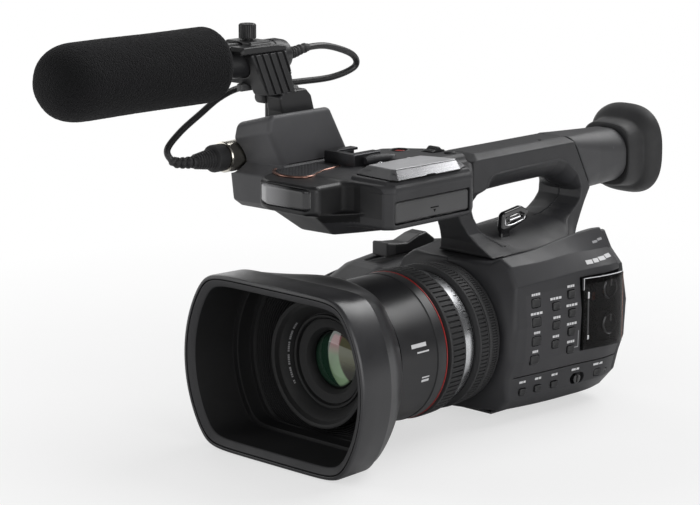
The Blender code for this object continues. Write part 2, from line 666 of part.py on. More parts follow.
def build_top_housing():
    housing = outline("top_housing", [HOUSING_PLAN], 81.0, 107.0, "XY", HANDLE, edge=1.8)
    join(housing, loft("keel", [[(x, y, z) for x, y in plan] for z, plan in KEEL_STATIONS]))
    build_screen(housing)
    build_light(housing)
    join(housing, outline("control_slab", [SLAB_PLAN], 104.0, 114.0, "XY"))
    build_shoe()
    turned("handle_rec_button", button(4.2, 3.2, 5.0, 2.6), RED, HANDLE_REC_AT, UPWARD, steps=20)
    cut(housing, turned("rec_hole", disc(5.3, 20, -1.4), None, HANDLE_REC_AT, UPWARD, steps=20))
    lever = outline("handle_zoom_lever", [[(-5.5, 0), (5.5, 0), (5.5, 1.6), (3, 2.2), (0, 4.4),
                                           (-3, 2.2), (-5.5, 1.6)]], -12, -4, "YZ", KEY, edge=0.4)
    lever.location = place(0, 45, 108.0)


# ---------------------------------------------------------------- viewfinder
EVF_HINGE = (0, 147.0, 110.9)
EVF_CENTRE_Z = 91.0
EVF_END = 202.0
EVF_BORE_AT = (0, EVF_END - 6, EVF_CENTRE_Z + 0.5)
# (y at the top, y at the bottom, half width, top z, bottom z, corner radius)
EVF_STATIONS = [
    (148.9, 168.6, 17, 110.4, 73.5, 7), (176, 178, 17.4, 110.4, 72.5, 8),
    (190, 190, 18.4, 110.6, 71.5, 10), (EVF_END, EVF_END, 19, 110.8, 71.5, 12)]
DIOPTER_Y, DIOPTER_Z = 186, 84
EYECUP_Z = EVF_CENTRE_Z + 0.2
EYECUP_POINTS = 28
EYECUP_POWER = 2.6           # superellipse exponent: 2 is an ellipse, higher is squarer
# (y, half width, half height): outside front to rear, then inside rear to front
EYECUP_STATIONS = [
    (EVF_END + 0.4, 19.6, 20.6), (208, 20.0, 21.0), (214, 21.0, 22.5), (224, 24.2, 28.2),
    (232, 25.4, 30.0), (234.6, 24.8, 29.4), (232, 23.4, 27.8), (222, 21.4, 24.4),
    (214, 18.0, 18.4), (EVF_END + 0.4, 16.0, 16.0)]


def evf_section(top_y, bottom_y, half_width, top, bottom, radius):
    """Rounded section leaning from bottom_y to top_y."""
    height = top - bottom
    points = rounded(0, (top + bottom) / 2, half_width, height / 2, radius)
    return [(x, bottom_y + (top_y - bottom_y) * (z - bottom) / height, z) for x, z in points]


def eyecup_ring(y, half_width, half_height):
    ring = []
    for i in range(EYECUP_POINTS):
        angle = math.tau * i / EYECUP_POINTS
        across, up = [math.copysign(abs(value) ** (2 / EYECUP_POWER), value)
                      for value in (math.cos(angle), math.sin(angle))]
        ring.append((half_width * across, y, EYECUP_Z + half_height * up))
    return ring


def build_viewfinder():
    evf = loft("evf_tube", [evf_section(*station) for station in EVF_STATIONS], HANDLE,
               origin=EVF_HINGE)
    cut(evf, turned("evf_bore", disc(15.2, 30, -14), None, EVF_BORE_AT, REARWARD, steps=28))
    turned("evf_eyepiece", [(0, 12), (8, 12), (12, 11), (12.4, 8.5), (14.8, 8.0), (14.8, -10),
                            (0, -10)], GLASS, EVF_BORE_AT, REARWARD, steps=28)
    loft("eyecup", [eyecup_ring(*station) for station in EYECUP_STATIONS], RUBBER, closed=True)
    # diopter lever in a shallow round recess on the right side of the tube
    cut(evf, turned("diopter_recess", disc(6.4, 10, -1.4), None,
                    (-16.9, DIOPTER_Y, DIOPTER_Z), RIGHTWARD, steps=20))
    turned("diopter_lever", button(4.6, 3.4, 5.8, 2.6), KEY,
           (-15.9, DIOPTER_Y, DIOPTER_Z), RIGHTWARD, steps=20)


# ---------------------------------------------------------------- audio box and microphone
MIC_X = -80.0
MIC_Z = 170.0
MIC_R = 10.5
MIC_AT = (MIC_X, 0, MIC_Z)
HOLDER_HALF_W = 17
FOAM_R = 22.7
PLUG_Z = 114.0
# faces of the audio box towards and away from the middle: x, outline (y, z)
NEAR_X, FAR_X = -52.4, -92.0
NEAR_TOP, FAR_TOP = 139.6, 129.6
BOX_NEAR = [(-36, 80), (-40, 108), (-52, 131), (-48, NEAR_TOP), (-9, NEAR_TOP), (-1, 136),
            (16, 112), (20, 80)]
BOX_FAR = [(-36, 79), (-39, 105), (-43, 122), (-38, FAR_TOP), (-9, FAR_TOP), (-2, 127),
           (13, 108), (18, 79)]
# side views: (y, z)
HOLDER_SIDE = [(-41, 149.4), (-55.6, 169.8), (-29.6, 169.8), (-20, 149.4)]
CLAMP_SIDE = [(-55.8, 170.4), (-58.5, 175), (-56, 181.6), (-33, 181.6), (-28.6, 177),
              (-29.6, 170.4)]
FOAM_PROFILE = [
    (0, 199), (9, 197.4), (15.6, 193), (20.2, 184), (FOAM_R - 0.8, 170), (FOAM_R, 145),
    (FOAM_R, 78), (FOAM_R - 1.5, 73), (FOAM_R - 4.5, 70.5), (MIC_R + GAP, 70.5),
    (MIC_R + GAP, 179), (0, 179)]
# control points from the rear of the microphone, round its right, to the plug
CABLE_PATH = [
    (MIC_X, -9.0, MIC_Z), (MIC_X, -3, MIC_Z + 0.4), (-80.5, 8, 172), (-82, 28, 171),
    (-86, 54, 163), (-89, 60, 154.5), (-93, 44, 149), (-98, 20, 148), (-102, 0, 148),
    (-103.5, -25, 148.5), (-101.5, -45, 145), (-97, -66, 138), (-92, -88, 130),
    (-87, -103, 122), (-82, -102, 115.6), (MIC_X, -91.2, PLUG_Z)]


def box_top(x):
    """Height of the sloping top of the audio box."""
    return NEAR_TOP + (FAR_TOP - NEAR_TOP) * (x - NEAR_X) / (FAR_X - NEAR_X)


def foot_ring(x):
    rest = box_top(x) + 0.4
    return [(x, y, z) for y, z in ((-33, rest), (-33, 146), (-29, 152), (-12, 152), (-8, 146),
                                   (-5, rest))]


def build_audio_box():
    audio_box = loft("audio_box", [[(x, y, z) for y, z in face]
                                   for x, face in ((NEAR_X, BOX_NEAR), (FAR_X, BOX_FAR))], HANDLE)
    bevel(audio_box, 3.0, segments=2, angle=25)
    cut(audio_box, turned("plug_socket", disc(10.2, 30, -3), None, (MIC_X, -38.4, PLUG_Z),
                          steps=24))
    turned("xlr_plug", [(0, 54), (3.2, 54), (5.4, 48), (6.6, 37), (8.4, 36.2), (8.6, 25),
                        (9.6, 24.2), (9.6, 0), (0, 0)], METAL, (MIC_X, -36.2, PLUG_Z), steps=24)


def build_mic_holder():
    """Leaning saddle on a foot, with a clamp above; one bore runs through both."""
    span = (MIC_X - HOLDER_HALF_W, MIC_X + HOLDER_HALF_W)
    holder = outline("mic_holder", [HOLDER_SIDE], *span, "YZ", KEY, edge=1.2)
    join(holder, loft("holder_foot", [foot_ring(x) for x in (-63.4, -89.0)]))
    bore = turned("mic_bore", disc(MIC_R + 0.4, 90, -30), None, MIC_AT)
    cut(holder, bore)
    clamp = outline("mic_clamp", [CLAMP_SIDE], *span, "YZ", KEY, edge=1.0,
                    origin=(MIC_X - HOLDER_HALF_W - 1, -40, 170.1))
    cut(clamp, bore)
    turned("mic_clamp_knob", [(0, 10.6), (4.6, 10.6), (5.3, 9.8), (5.3, 1.4), (3.2, 0.8),
                              (3.2, 0), (0, 0)], KEY, (MIC_X, -43, 181.9), UPWARD, steps=20)


def build_microphone():
    turned("microphone", [(0, 178), (9, 178), (MIC_R, 176), (MIC_R, 20), (9, 13), (4, 10),
                          (0, 10)], BARREL, MIC_AT)
    turned("windscreen", FOAM_PROFILE, FOAM, MIC_AT, steps=24)
    tube("mic_cable", catmull(CABLE_PATH, samples=2), 2.1, CABLE)


# ---------------------------------------------------------------- grip controls and strap
ROCKER_SIDE = [(-22, -3), (22, -3), (23, 3), (15, 8.5), (8, 7.5), (-3, 4), (-14, 5.0),
               (-22, 6.4)]
REC_AT = (-66, 146.6, 14)
STRAP_THICK = 3.6
# (y, inner face x)
STRAP_PATH = [(20, -93.2), (32, -99.0), (50, -103.6), (80, -106.6), (110, -104.8),
              (130, -100.0), (142, -94.4)]


def build_grip_controls(shell):
    """Zoom rocker on top of the grip, record button and power switch at its rear."""
    rocker = outline("zoom_rocker", [ROCKER_SIDE], -76, -62, "YZ", KEY, edge=1.0)
    rocker.location = place(0, 84, 37.6)
    cut(shell, box("rocker_slot", (-77.2, 55, 30.6), (-60.8, 109, 60)))
    turned("rec_button", button(5.6, 5.6, 6.6, 4.6), RED, REC_AT, REARWARD, steps=24)
    turned("power_switch", [(10.4, 4.4), (11.4, 3.4), (11.4, 0.4), (7.2, 0.4), (7.2, 4.4)], KEY,
           REC_AT, REARWARD, steps=24)
    cut(shell, turned("rec_well", disc(11.8, 20, -1.6), None, REC_AT, REARWARD, steps=24))


def build_strap():
    """Hand strap bowed round the grip, tallest at its middle."""
    rings = []
    for y, x in STRAP_PATH:
        from_middle = abs(y - 80) / 62
        half_height = 24 - 8 * from_middle * from_middle
        top, bottom = half_height - 3, -half_height - 5
        outer = x - STRAP_THICK
        rings.append([(x, y, top), (outer, y, top), (outer, y, bottom), (x, y, bottom)])
    loft("hand_strap", rings, STRAP)


# ---------------------------------------------------------------- assembly
left_shell = half_shell("left_shell", LEFT_SECTIONS, 1, lambda y: 6.0 if y < 100 else 12.0)
right_shell = right_shell_with_grip()
build_keys(left_shell)
build_mode_switch(left_shell)
build_audio_controls(left_shell)
build_base()
build_rear()
build_optics()
build_lens_rings()
build_hood()
build_handle()
build_strap_lug()
build_top_housing()
build_viewfinder()
build_audio_box()
build_mic_holder()
build_microphone()
build_grip_controls(right_shell)
build_strap()

bpy.context.view_layer.update()
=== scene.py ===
"""Looks of a hand-held professional camcorder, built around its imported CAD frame.

Sizes are millimetres in the lens frame: the lens axis runs along y through x = z = 0, the
lens looks towards -y, the key side is +x and z is up. row_frame() turns points into the
metres of the row frame. Stage, lights and camera are given in metres.
"""
import math
from functools import reduce
from math import cos, pi, radians, sin, tau

import bmesh
import bpy
import numpy as np
from mathutils import Euler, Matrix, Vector


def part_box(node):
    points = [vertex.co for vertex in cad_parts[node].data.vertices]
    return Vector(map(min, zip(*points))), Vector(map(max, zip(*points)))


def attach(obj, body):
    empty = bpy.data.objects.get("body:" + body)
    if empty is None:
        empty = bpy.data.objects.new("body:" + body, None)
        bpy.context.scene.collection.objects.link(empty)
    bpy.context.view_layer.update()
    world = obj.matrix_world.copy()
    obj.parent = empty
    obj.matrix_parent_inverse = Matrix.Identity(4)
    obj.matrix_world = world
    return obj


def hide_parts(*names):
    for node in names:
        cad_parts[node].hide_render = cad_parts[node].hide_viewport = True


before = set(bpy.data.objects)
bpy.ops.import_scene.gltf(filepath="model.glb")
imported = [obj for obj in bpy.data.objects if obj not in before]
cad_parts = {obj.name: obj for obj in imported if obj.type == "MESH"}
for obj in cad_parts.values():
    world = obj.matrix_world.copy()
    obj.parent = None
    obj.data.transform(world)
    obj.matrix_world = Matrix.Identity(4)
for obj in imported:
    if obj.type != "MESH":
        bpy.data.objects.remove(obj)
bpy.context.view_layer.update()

MM = 0.001
LENS_ORIGIN = np.array([0.0, -102.0, 51.0])     # place of the lens frame in the row frame
BODY = "camera_body"


def row_frame(points):
    return (np.asarray(points, float) + LENS_ORIGIN) * MM


# ================================================================ materials
MATS = {}
DARK_TONE = 0.52        # dark plastics are toned down by this
MIDDLE = (0.3, 0.7)     # the part of a noise's range that holds nearly all of it


class Material:
    """A node material with short helpers that add and wire its shader nodes."""

    def __init__(self, name):
        MATS[name] = bpy.data.materials.new(name)
        MATS[name].use_nodes = True
        self.tree = MATS[name].node_tree
        self.shader = self.tree.nodes["Principled BSDF"]
        self.place = self.add("ShaderNodeTexCoord").outputs["Object"]

    def put(self, socket, value):
        """Links a socket or sets a value; colours are given without alpha."""
        if hasattr(value, "is_output"):
            self.tree.links.new(value, socket)
        else:
            socket.default_value = (*value, 1) if socket.type == "RGBA" else value

    def add(self, kind, inputs=None, **settings):
        node = self.tree.nodes.new(kind)
        for key, value in settings.items():
            setattr(node, key, value)
        for key, value in (inputs or {}).items():
            self.put(node.inputs[key], value)
        return node

    def shade(self, values):
        """Sets inputs of the main shader."""
        for key, value in values.items():
            self.put(self.shader.inputs[key], value)

    def noise(self, scale, detail=3.0, rough=0.55, place=None):
        return self.add("ShaderNodeTexNoise", {
            "Vector": place or self.place, "Scale": scale, "Detail": detail,
            "Roughness": rough}).outputs["Fac"]

    def cells(self, scale):
        return self.add("ShaderNodeTexVoronoi",
                        {"Vector": self.place, "Scale": scale}).outputs["Distance"]

    def bands(self, direction, scale, **inputs):
        return self.add("ShaderNodeTexWave",
                        {"Vector": self.place, "Scale": scale, **inputs},
                        wave_type="BANDS", bands_direction=direction).outputs["Fac"]

    def axes(self):
        return self.add("ShaderNodeSeparateXYZ", {0: self.place}).outputs

    def span(self, value, to=(0, 1), band=MIDDLE):
        """Maps the range band of value onto the range to."""
        return self.add("ShaderNodeMapRange", {
            "Value": value, "From Min": band[0], "From Max": band[1],
            "To Min": to[0], "To Max": to[1]}).outputs["Result"]

    def math(self, operation, first, second=0.0):
        return self.add("ShaderNodeMath", {0: first, 1: second},
                        operation=operation).outputs[0]

    def mix(self, factor, first, second):
        return self.add("ShaderNodeMix", {"Factor": factor, 6: first, 7: second},
                        data_type="RGBA").outputs[2]

    def drift(self, pattern, dark, light, band=MIDDLE):
        """Colour that wanders from dark to light with a pattern."""
        return self.mix(self.span(pattern, band=band), dark, light)

    def bump(self, height, strength, distance):
        return self.add("ShaderNodeBump", {
            "Height": height, "Strength": strength, "Distance": distance}).outputs["Normal"]

    def edge(self, band=(0.52, 0.58)):
        """1 on sharp outer edges, where painted highlights go, 0 on flats."""
        return self.span(self.add("ShaderNodeNewGeometry").outputs["Pointiness"], band=band)


def scaled(rgb, factor):
    return tuple(c * factor for c in rgb)


def plastic(name, rgb, rough, grain=0.00006, grain_scale=2600.0, vary=0.12, spec=0.5,
            edge=0.25, strength=0.35):
    """Moulded plastic: fine grain (height in metres), slow tone drift, and edges painted paler as
    a highlight.
    """
    net = Material(name)
    if max(rgb) < 0.2:
        rgb = scaled(rgb, DARK_TONE)
        spec *= 0.8
    fine = net.noise(grain_scale, detail=2.0, rough=0.6)
    color = net.drift(net.noise(28.0, detail=4.0), scaled(rgb, 1 - vary), scaled(rgb, 1 + vary))
    # painted highlight: sharp edges are mixed towards a paler colour by the amount edge
    color = net.mix(net.math("MULTIPLY", net.edge(), edge), color,
                    tuple(min(1, c * 2.2 + 0.02) for c in rgb))
    net.shade({
        "Base Color": color,
        "Roughness": net.math("ADD", net.span(net.noise(60.0), to=(rough - 0.05, rough + 0.05)),
                              net.span(fine, to=(-0.03, 0.03))),
        "Specular IOR Level": spec})
    if grain:
        net.shade({"Normal": net.bump(fine, strength=strength, distance=grain)})


plastic("body_skin", rgb=(0.047, 0.047, 0.052), rough=0.50)
plastic("panel_skin", rgb=(0.060, 0.059, 0.065), rough=0.52)
plastic("handle_skin", rgb=(0.050, 0.050, 0.054), rough=0.50)
plastic("grip_skin", rgb=(0.042, 0.042, 0.045), rough=0.56, grain=0.00010,
        grain_scale=1500.0, strength=0.5)
plastic("hood_skin", rgb=(0.036, 0.036, 0.040), rough=0.34, grain=0.00002, strength=0.25,
        edge=0.15, spec=0.75)
plastic("hood_rim", rgb=(0.062, 0.062, 0.066), rough=0.55, grain=0.00004, edge=0.1)
plastic("hood_inside", rgb=(0.013, 0.013, 0.014), rough=0.62, spec=0.35, edge=0.6)
plastic("barrel_skin", rgb=(0.034, 0.034, 0.037), rough=0.34, grain=0.00002, strength=0.2,
        edge=0.1)
plastic("cone_skin", rgb=(0.046, 0.046, 0.047), rough=0.55, grain=0.00004, edge=0.1, spec=0.35)
plastic("nose_skin", rgb=(0.017, 0.017, 0.019), rough=0.42, grain=0.00004)
plastic("key_skin", rgb=(0.030, 0.030, 0.032), rough=0.42, grain=0.00002, edge=0.5)
plastic("key_side", rgb=(0.018, 0.018, 0.019), rough=0.5, grain=0.0)
plastic("grey_panel", rgb=(0.115, 0.115, 0.118), rough=0.50, grain=0.00005)
plastic("rocker_skin", rgb=(0.10, 0.10, 0.103), rough=0.50, grain=0.00005)
# painted shade: near-black filler for gaps, grooves and recesses where shade falls; it also
# serves for black print
plastic("gap_dark", rgb=(0.006, 0.006, 0.006), rough=0.8, grain=0.0, edge=0.0, spec=0.2)
plastic("label_white", rgb=(0.62, 0.62, 0.63), rough=0.5, grain=0.0, vary=0.06, edge=0.0)
plastic("label_grey", rgb=(0.30, 0.30, 0.31), rough=0.5, grain=0.0, vary=0.06, edge=0.0)
plastic("red_skin", rgb=(0.42, 0.02, 0.012), rough=0.35, grain=0.00002, edge=0.2)
plastic("red_line", rgb=(0.34, 0.012, 0.010), rough=0.40, grain=0.0, edge=0.0)
plastic("tube_skin", rgb=(0.082, 0.082, 0.087), rough=0.5, spec=0.55)
plastic("box_skin", rgb=(0.135, 0.135, 0.143), rough=0.52, grain=0.00008, grain_scale=2000.0)
plastic("battery_skin", rgb=(0.036, 0.036, 0.038), rough=0.48)


def metal(name, rgb, rough, stretch, scale=1.0):
    """Turned or brushed metal with hairlines; stretch scales the noise along x, y and z."""
    net = Material(name)
    place = net.add("ShaderNodeMapping",
                    {"Vector": net.place, "Scale": stretch}).outputs["Vector"]
    lines = net.noise(scale, detail=4.0, rough=0.7, place=place)
    net.shade({
        "Base Color": net.drift(lines, scaled(rgb, 0.72), rgb, band=(0.25, 0.75)),
        "Metallic": 1.0,
        "Roughness": net.span(net.noise(40.0), to=(rough - 0.06, rough + 0.06)),
        "Normal": net.bump(lines, strength=0.3, distance=0.00002)})


metal("ring_silver", rgb=(0.72, 0.73, 0.75), rough=0.26, stretch=(900, 2500, 900), scale=0.6)
metal("top_silver", rgb=(0.62, 0.62, 0.635), rough=0.5, stretch=(2500, 60, 60))
metal("edge_silver", rgb=(0.30, 0.30, 0.31), rough=0.26, stretch=(2500, 40, 60))
metal("trim_copper", rgb=(0.36, 0.20, 0.16), rough=0.26, stretch=(300, 300, 300))
metal("screw_steel", rgb=(0.62, 0.62, 0.63), rough=0.24, stretch=(400, 400, 400))
metal("lug_bright", rgb=(0.75, 0.75, 0.77), rough=0.14, stretch=(200, 200, 200))
metal("shoe_black", rgb=(0.09, 0.09, 0.095), rough=0.38, stretch=(200, 1200, 200))
metal("plug_nickel", rgb=(0.70, 0.67, 0.60), rough=0.20, stretch=(300, 1500, 300))


def ring_rubber():
    net = Material("ring_rubber")
    fine = net.noise(1800.0)
    color = net.drift(net.noise(50.0), (0.010, 0.010, 0.011), (0.015, 0.015, 0.016))
    # painted highlight: the rib edges are lightened
    painted_edge_highlight = net.math("MULTIPLY", net.edge(band=(0.51, 0.56)), 0.55)
    net.shade({
        "Base Color": net.mix(painted_edge_highlight, color, (0.06, 0.06, 0.062)),
        "Roughness": net.span(fine, to=(0.55, 0.72)),
        "Specular IOR Level": 0.4,
        "Normal": net.bump(fine, strength=0.4, distance=0.00006)})


def eyecup_rubber():
    net = Material("eyecup_rubber")
    net.shade({
        "Base Color": net.drift(net.noise(35.0), (0.012, 0.012, 0.013), (0.018, 0.018, 0.019)),
        "Roughness": net.span(net.noise(90.0, detail=4.0), to=(0.56, 0.70)),
        "Sheen Weight": 0.03,
        "Sheen Roughness": 0.5,
        "Normal": net.bump(net.noise(1200.0, detail=4.0), strength=0.3, distance=0.00006)})


def foam():
    """Open-cell foam: tiny dark cells with soft, slightly fuzzy walls."""
    net = Material("foam_cells")
    big = net.noise(420.0, detail=4.0, rough=0.7)
    pore = net.span(net.cells(900.0), band=(0.05, 0.55))
    color = net.mix(pore, (0.0013, 0.0013, 0.0015), (0.0062, 0.0062, 0.0068))
    color = net.mix(net.span(big, to=(0.0, 0.5), band=(0.35, 0.75)), color,
                    (0.004, 0.004, 0.0044))
    height = net.math("ADD", pore, net.math("MULTIPLY", big, 0.9))
    net.shade({
        "Base Color": color,
        "Roughness": 0.95,
        "Specular IOR Level": 0.15,
        "Sheen Weight": 0.16,
        "Sheen Roughness": 0.6,
        "Sheen Tint": (0.25, 0.25, 0.26),
        "Normal": net.bump(height, strength=0.9, distance=0.0006)})


def cloth(name, rgb, scale, rough):
    """Plain weave from two crossed wave fields."""
    net = Material(name)
    threads = [net.bands(way, scale, Distortion=0.6, Detail=1.0) for way in "YZ"]
    weave = net.math("MULTIPLY", *threads)
    color = net.mix(weave, scaled(rgb, 0.55), scaled(rgb, 1.35))
    net.shade({
        "Base Color": net.mix(net.span(net.noise(30.0), to=(0, 0.25)), color, scaled(rgb, 1.6)),
        "Roughness": rough,
        "Sheen Weight": 0.4,
        "Sheen Roughness": 0.4,
        "Sheen Tint": (0.3, 0.3, 0.32),
        "Specular IOR Level": 0.25,
        "Normal": net.bump(weave, strength=0.6, distance=0.0002)})


def leather():
    net = Material("strap_leather")
    cells = net.cells(520.0)
    height = net.math("ADD", cells, net.math("MULTIPLY", net.noise(900.0), 0.3))
    net.shade({
        "Base Color": net.drift(net.noise(22.0, detail=4.0), (0.018, 0.018, 0.019),
                                (0.032, 0.032, 0.034)),
        "Roughness": net.span(cells, to=(0.62, 0.45), band=(0.1, 0.6)),
        "Normal": net.bump(height, strength=0.6, distance=0.00035)})


ring_rubber()
eyecup_rubber()
foam()
cloth("strap_web", rgb=(0.022, 0.022, 0.024), scale=420.0, rough=0.85)
cloth("stitch_thread", rgb=(0.11, 0.11, 0.115), scale=1500.0, rough=0.7)
leather()


def glossy(name, rgb, rough, spec=0.5, coat=0.0, alpha=1.0, trans=0.0, metallic=0.0):
    """Smooth surface with a faint smear over colour and roughness."""
    net = Material(name)
    smear = net.noise(18.0, detail=4.0)
    net.shade({
        "Base Color": net.drift(smear, scaled(rgb, 0.9), scaled(rgb, 1.1), band=(0.35, 0.7)),
        "Roughness": net.span(smear, to=(rough - 0.012, rough + 0.02)),
        "Specular IOR Level": spec,
        "Coat Weight": coat,
        "Alpha": alpha,
        "Transmission Weight": trans,
        "Metallic": metallic})


glossy("smoked_glass", rgb=(0.0025, 0.002, 0.002), rough=0.05, spec=0.22, alpha=0.55)
glossy("screen_black", rgb=(0.008, 0.009, 0.012), rough=0.06, spec=0.6, coat=0.4)
glossy("gloss_black", rgb=(0.012, 0.012, 0.013), rough=0.08, spec=0.6, coat=0.4)
glossy("chrome_line", rgb=(0.65, 0.65, 0.67), rough=0.12, metallic=1.0)
glossy("led_amber", rgb=(0.30, 0.05, 0.01), rough=0.2, coat=0.3)
glossy("cable_skin", rgb=(0.016, 0.016, 0.017), rough=0.36)
glossy("prism_glass", rgb=(0.5, 0.55, 0.6), rough=0.03, trans=0.8)
glossy("board_green", rgb=(0.015, 0.10, 0.04), rough=0.35)


def light_window_frost():
    """Frosted window of the video light: ribbed, with painted light at its low-x end fading into
    painted shade further along.
    """
    net = Material("light_frost")
    ribbing = net.bands("X", 330.0)
    low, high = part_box("light_window")
    # painted light and shade: pale at the low-x end, fading to near black along x
    bright = net.span(net.axes()["X"], to=(1.0, 0.0),
                      band=(low.x, low.x + (high.x - low.x) * 0.70))
    color = net.mix(bright, (0.010, 0.010, 0.011), (0.36, 0.36, 0.37))
    color = net.mix(net.math("MULTIPLY", ribbing, 0.05), color, (0.24, 0.24, 0.25))
    net.shade({
        "Base Color": color,
        "Roughness": 0.28,
        "Coat Weight": 0.3,
        "Coat Roughness": 0.12,
        "Normal": net.bump(ribbing, strength=0.25, distance=0.00012)})


light_window_frost()


# ================================================================ mesh helpers
def coat_mesh(mesh, mat):
    """Fills the material slots; mat is one name or a list of names."""
    for name in [mat] if isinstance(mat, str) else mat:
        mesh.materials.append(MATS[name])


def add_object(name, mesh, body, node):
    """Object that rides on body and stands for a CAD node, if one is given."""
    obj = bpy.data.objects.new(name, mesh)
    bpy.context.scene.collection.objects.link(obj)
    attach(obj, body)
    if node:
        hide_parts(node)
    return obj


def loft(name, verts, faces, mat, body=BODY, node=None, sharp=40.0, slots=None):
    """Object from points and faces: repeated points are welded, normals made to face out."""
    work = bmesh.new()
    points = [work.verts.new(v) for v in np.asarray(verts, float)]
    for k, corners in enumerate(faces):
        used = list(dict.fromkeys(points[int(i)] for i in corners))
        if len(used) > 2:
            try:
                face = work.faces.new(used)
                face.material_index = 0 if slots is None else int(slots[k])
            except ValueError:
                pass    # the same face may be listed twice once its corners collapse
    bmesh.ops.remove_doubles(work, verts=work.verts, dist=1e-4)
    bmesh.ops.recalc_face_normals(work, faces=work.faces)
    mesh = bpy.data.meshes.new(name)
    for v in work.verts:
        v.co = row_frame(v.co)
    work.to_mesh(mesh)
    work.free()
    coat_mesh(mesh, mat)
    mesh.shade_smooth()
    mesh.set_sharp_from_angle(angle=radians(sharp))
    return add_object(name, mesh, body, node)


def grid_faces(rows, columns, closed=False):
    """Quads between rows of looped points; closed joins the last row to the first."""
    i = np.arange(rows if closed else rows - 1)[:, None]
    j = np.arange(columns)[None, :]
    below, beside = (i + 1) % rows, (j + 1) % columns
    quads = [i * columns + j, i * columns + beside, below * columns + beside,
             below * columns + j]
    return np.stack(quads, -1).reshape(-1, 4)


def capped_faces(rows, columns):
    """grid_faces() with a face over each end."""
    faces = [list(quad) for quad in grid_faces(rows, columns)]
    faces.append(list(range(columns)))
    faces.append(list(range((rows - 1) * columns, rows * columns))[::-1])
    return faces


def rectangle(half_width, half_height):
    return [(-half_width, -half_height), (half_width, -half_height),
            (half_width, half_height), (-half_width, half_height)]


BOX_FACES = [(0, 1, 2, 3), (4, 5, 6, 7), (0, 1, 5, 4), (1, 2, 6, 5), (2, 3, 7, 6), (3, 0, 4, 7)]


def box_faces(first):
    return [[first + k for k in face] for face in BOX_FACES]


def rotation(angles):
    return np.array(Euler(angles).to_matrix())


def turn_points(points, centre, angles):
    return points @ rotation(angles).T + np.array(centre)


# Directions of angle 0, of a quarter turn and of height, for turned surfaces.
ALONG_X = ((0, 1, 0), (0, 0, 1), (1, 0, 0))
ALONG_Y = ((0, 0, 1), (1, 0, 0), (0, 1, 0))
ALONG_Z = ((1, 0, 0), (0, 1, 0), (0, 0, 1))


def lathe(name, profile, mat, body=BODY, node=None, centre=(0, 0, 0), axis=ALONG_Y, seg=96,
          wave=None, closed=True, sharp=35.0, slot_of=None):
    """Turned surface. profile is [(radius, height)]; wave(row, angles) is added to a row's
    radius; slot_of(row) picks a material slot."""
    start, quarter, along = [np.array(way, float) for way in axis]
    angles = np.arange(seg) * tau / seg
    rings = []
    for k, (radius, height) in enumerate(profile):
        radii = np.full(seg, float(radius))
        if wave is not None:
            radii = radii + wave(k, angles)
        rings.append(np.outer(radii * np.cos(angles), start)
                     + np.outer(radii * np.sin(angles), quarter)
                     + np.outer(np.full(seg, float(height)), along))
    verts = np.concatenate(rings) + np.array(centre, float)
    count = len(profile)
    slots = slot_of and np.repeat([slot_of(k) for k in range(count)], seg)
    return loft(name, verts, grid_faces(count, seg, closed), mat, body, node, sharp, slots)


def ribs(count, depth, duty, soft, rows):
    """Wave for lathe(): notches of (1 - duty) width between ribs, on the given rows."""
    def wave(row, angles):
        phase = (angles * count / tau) % 1.0
        from_middle = np.abs(phase - 0.5) * 2
        return -depth * np.clip((from_middle - duty) / soft, 0, 1) * (row in rows)
    return wave


def round_profile(points, radius, steps=4):
    """Rounds the corners of a closed (radius, height) profile; radius may be one a corner."""
    out = []
    for i in range(len(points)):
        corner = np.array(points[i], float)
        back = np.array(points[i - 1], float) - corner
        ahead = np.array(points[(i + 1) % len(points)], float) - corner
        bend = radius[i] if isinstance(radius, list) else radius
        back_len, ahead_len = np.linalg.norm(back), np.linalg.norm(ahead)
        if bend <= 0 or back_len < 1e-6 or ahead_len < 1e-6:
            out.append(tuple(corner))
            continue
        back, ahead = back / back_len, ahead / ahead_len
        angle = math.acos(max(-1, min(1, float(back @ ahead))))
        if angle > pi - 0.15:
            out.append(tuple(corner))
            continue
        trim = min(bend / math.tan(angle / 2), back_len * 0.45, ahead_len * 0.45)
        for k in range(steps + 1):
            t = k / steps
            out.append(tuple((1 - t) ** 2 * (corner + back * trim) + 2 * t * (1 - t) * corner
                             + t * t * (corner + ahead * trim)))
    return out


def bar(name, low, high, mat, body=BODY, node=None, edge=0.4):
    """Box between two corners with rounded edges."""
    work = bmesh.new()
    bmesh.ops.create_cube(work, size=1.0)
    low, high = np.array(low, float), np.array(high, float)
    for v in work.verts:
        v.co = Vector(np.array(v.co) * (high - low))
    bmesh.ops.bevel(work, geom=list(work.edges), offset=edge, segments=3, profile=0.5,
                    affect="EDGES")
    for v in work.verts:
        v.co = v.co + Vector((low + high) / 2)
    verts = [list(v.co) for v in work.verts]
    work.verts.index_update()
    faces = [[v.index for v in face.verts] for face in work.faces]
    work.free()
    return loft(name, verts, faces, mat, body, node)


def wire(name, path, radius, mat, node=None, seg=16, closed=False):
    """Round tube swept along a path; radius may be one a point."""
    path = [np.array(point, float) for point in path]
    count = len(path)
    radii = np.broadcast_to(radius, count)
    tangents = []
    for i in range(count):
        before = path[i - 1] if (i > 0 or closed) else path[0]
        after = path[(i + 1) % count] if (i < count - 1 or closed) else path[-1]
        run = after - before
        tangents.append(run / (np.linalg.norm(run) + 1e-12))
    helper = np.array([0, 0, 1.0]) if abs(tangents[0][2]) < 0.9 else np.array([1.0, 0, 0])
    side = np.cross(tangents[0], helper)
    side /= np.linalg.norm(side)
    angles = np.arange(seg) * tau / seg
    rings = []
    for point, tangent, size in zip(path, tangents, radii):
        side = side - tangent * (side @ tangent)
        side /= np.linalg.norm(side)
        other = np.cross(tangent, side)
        rings.append(point + size * (np.outer(np.cos(angles), side)
                                     + np.outer(np.sin(angles), other)))
    faces = grid_faces(count, seg, True) if closed else capped_faces(count, seg)
    return loft(name, np.concatenate(rings), faces, mat, BODY, node, 50.0)


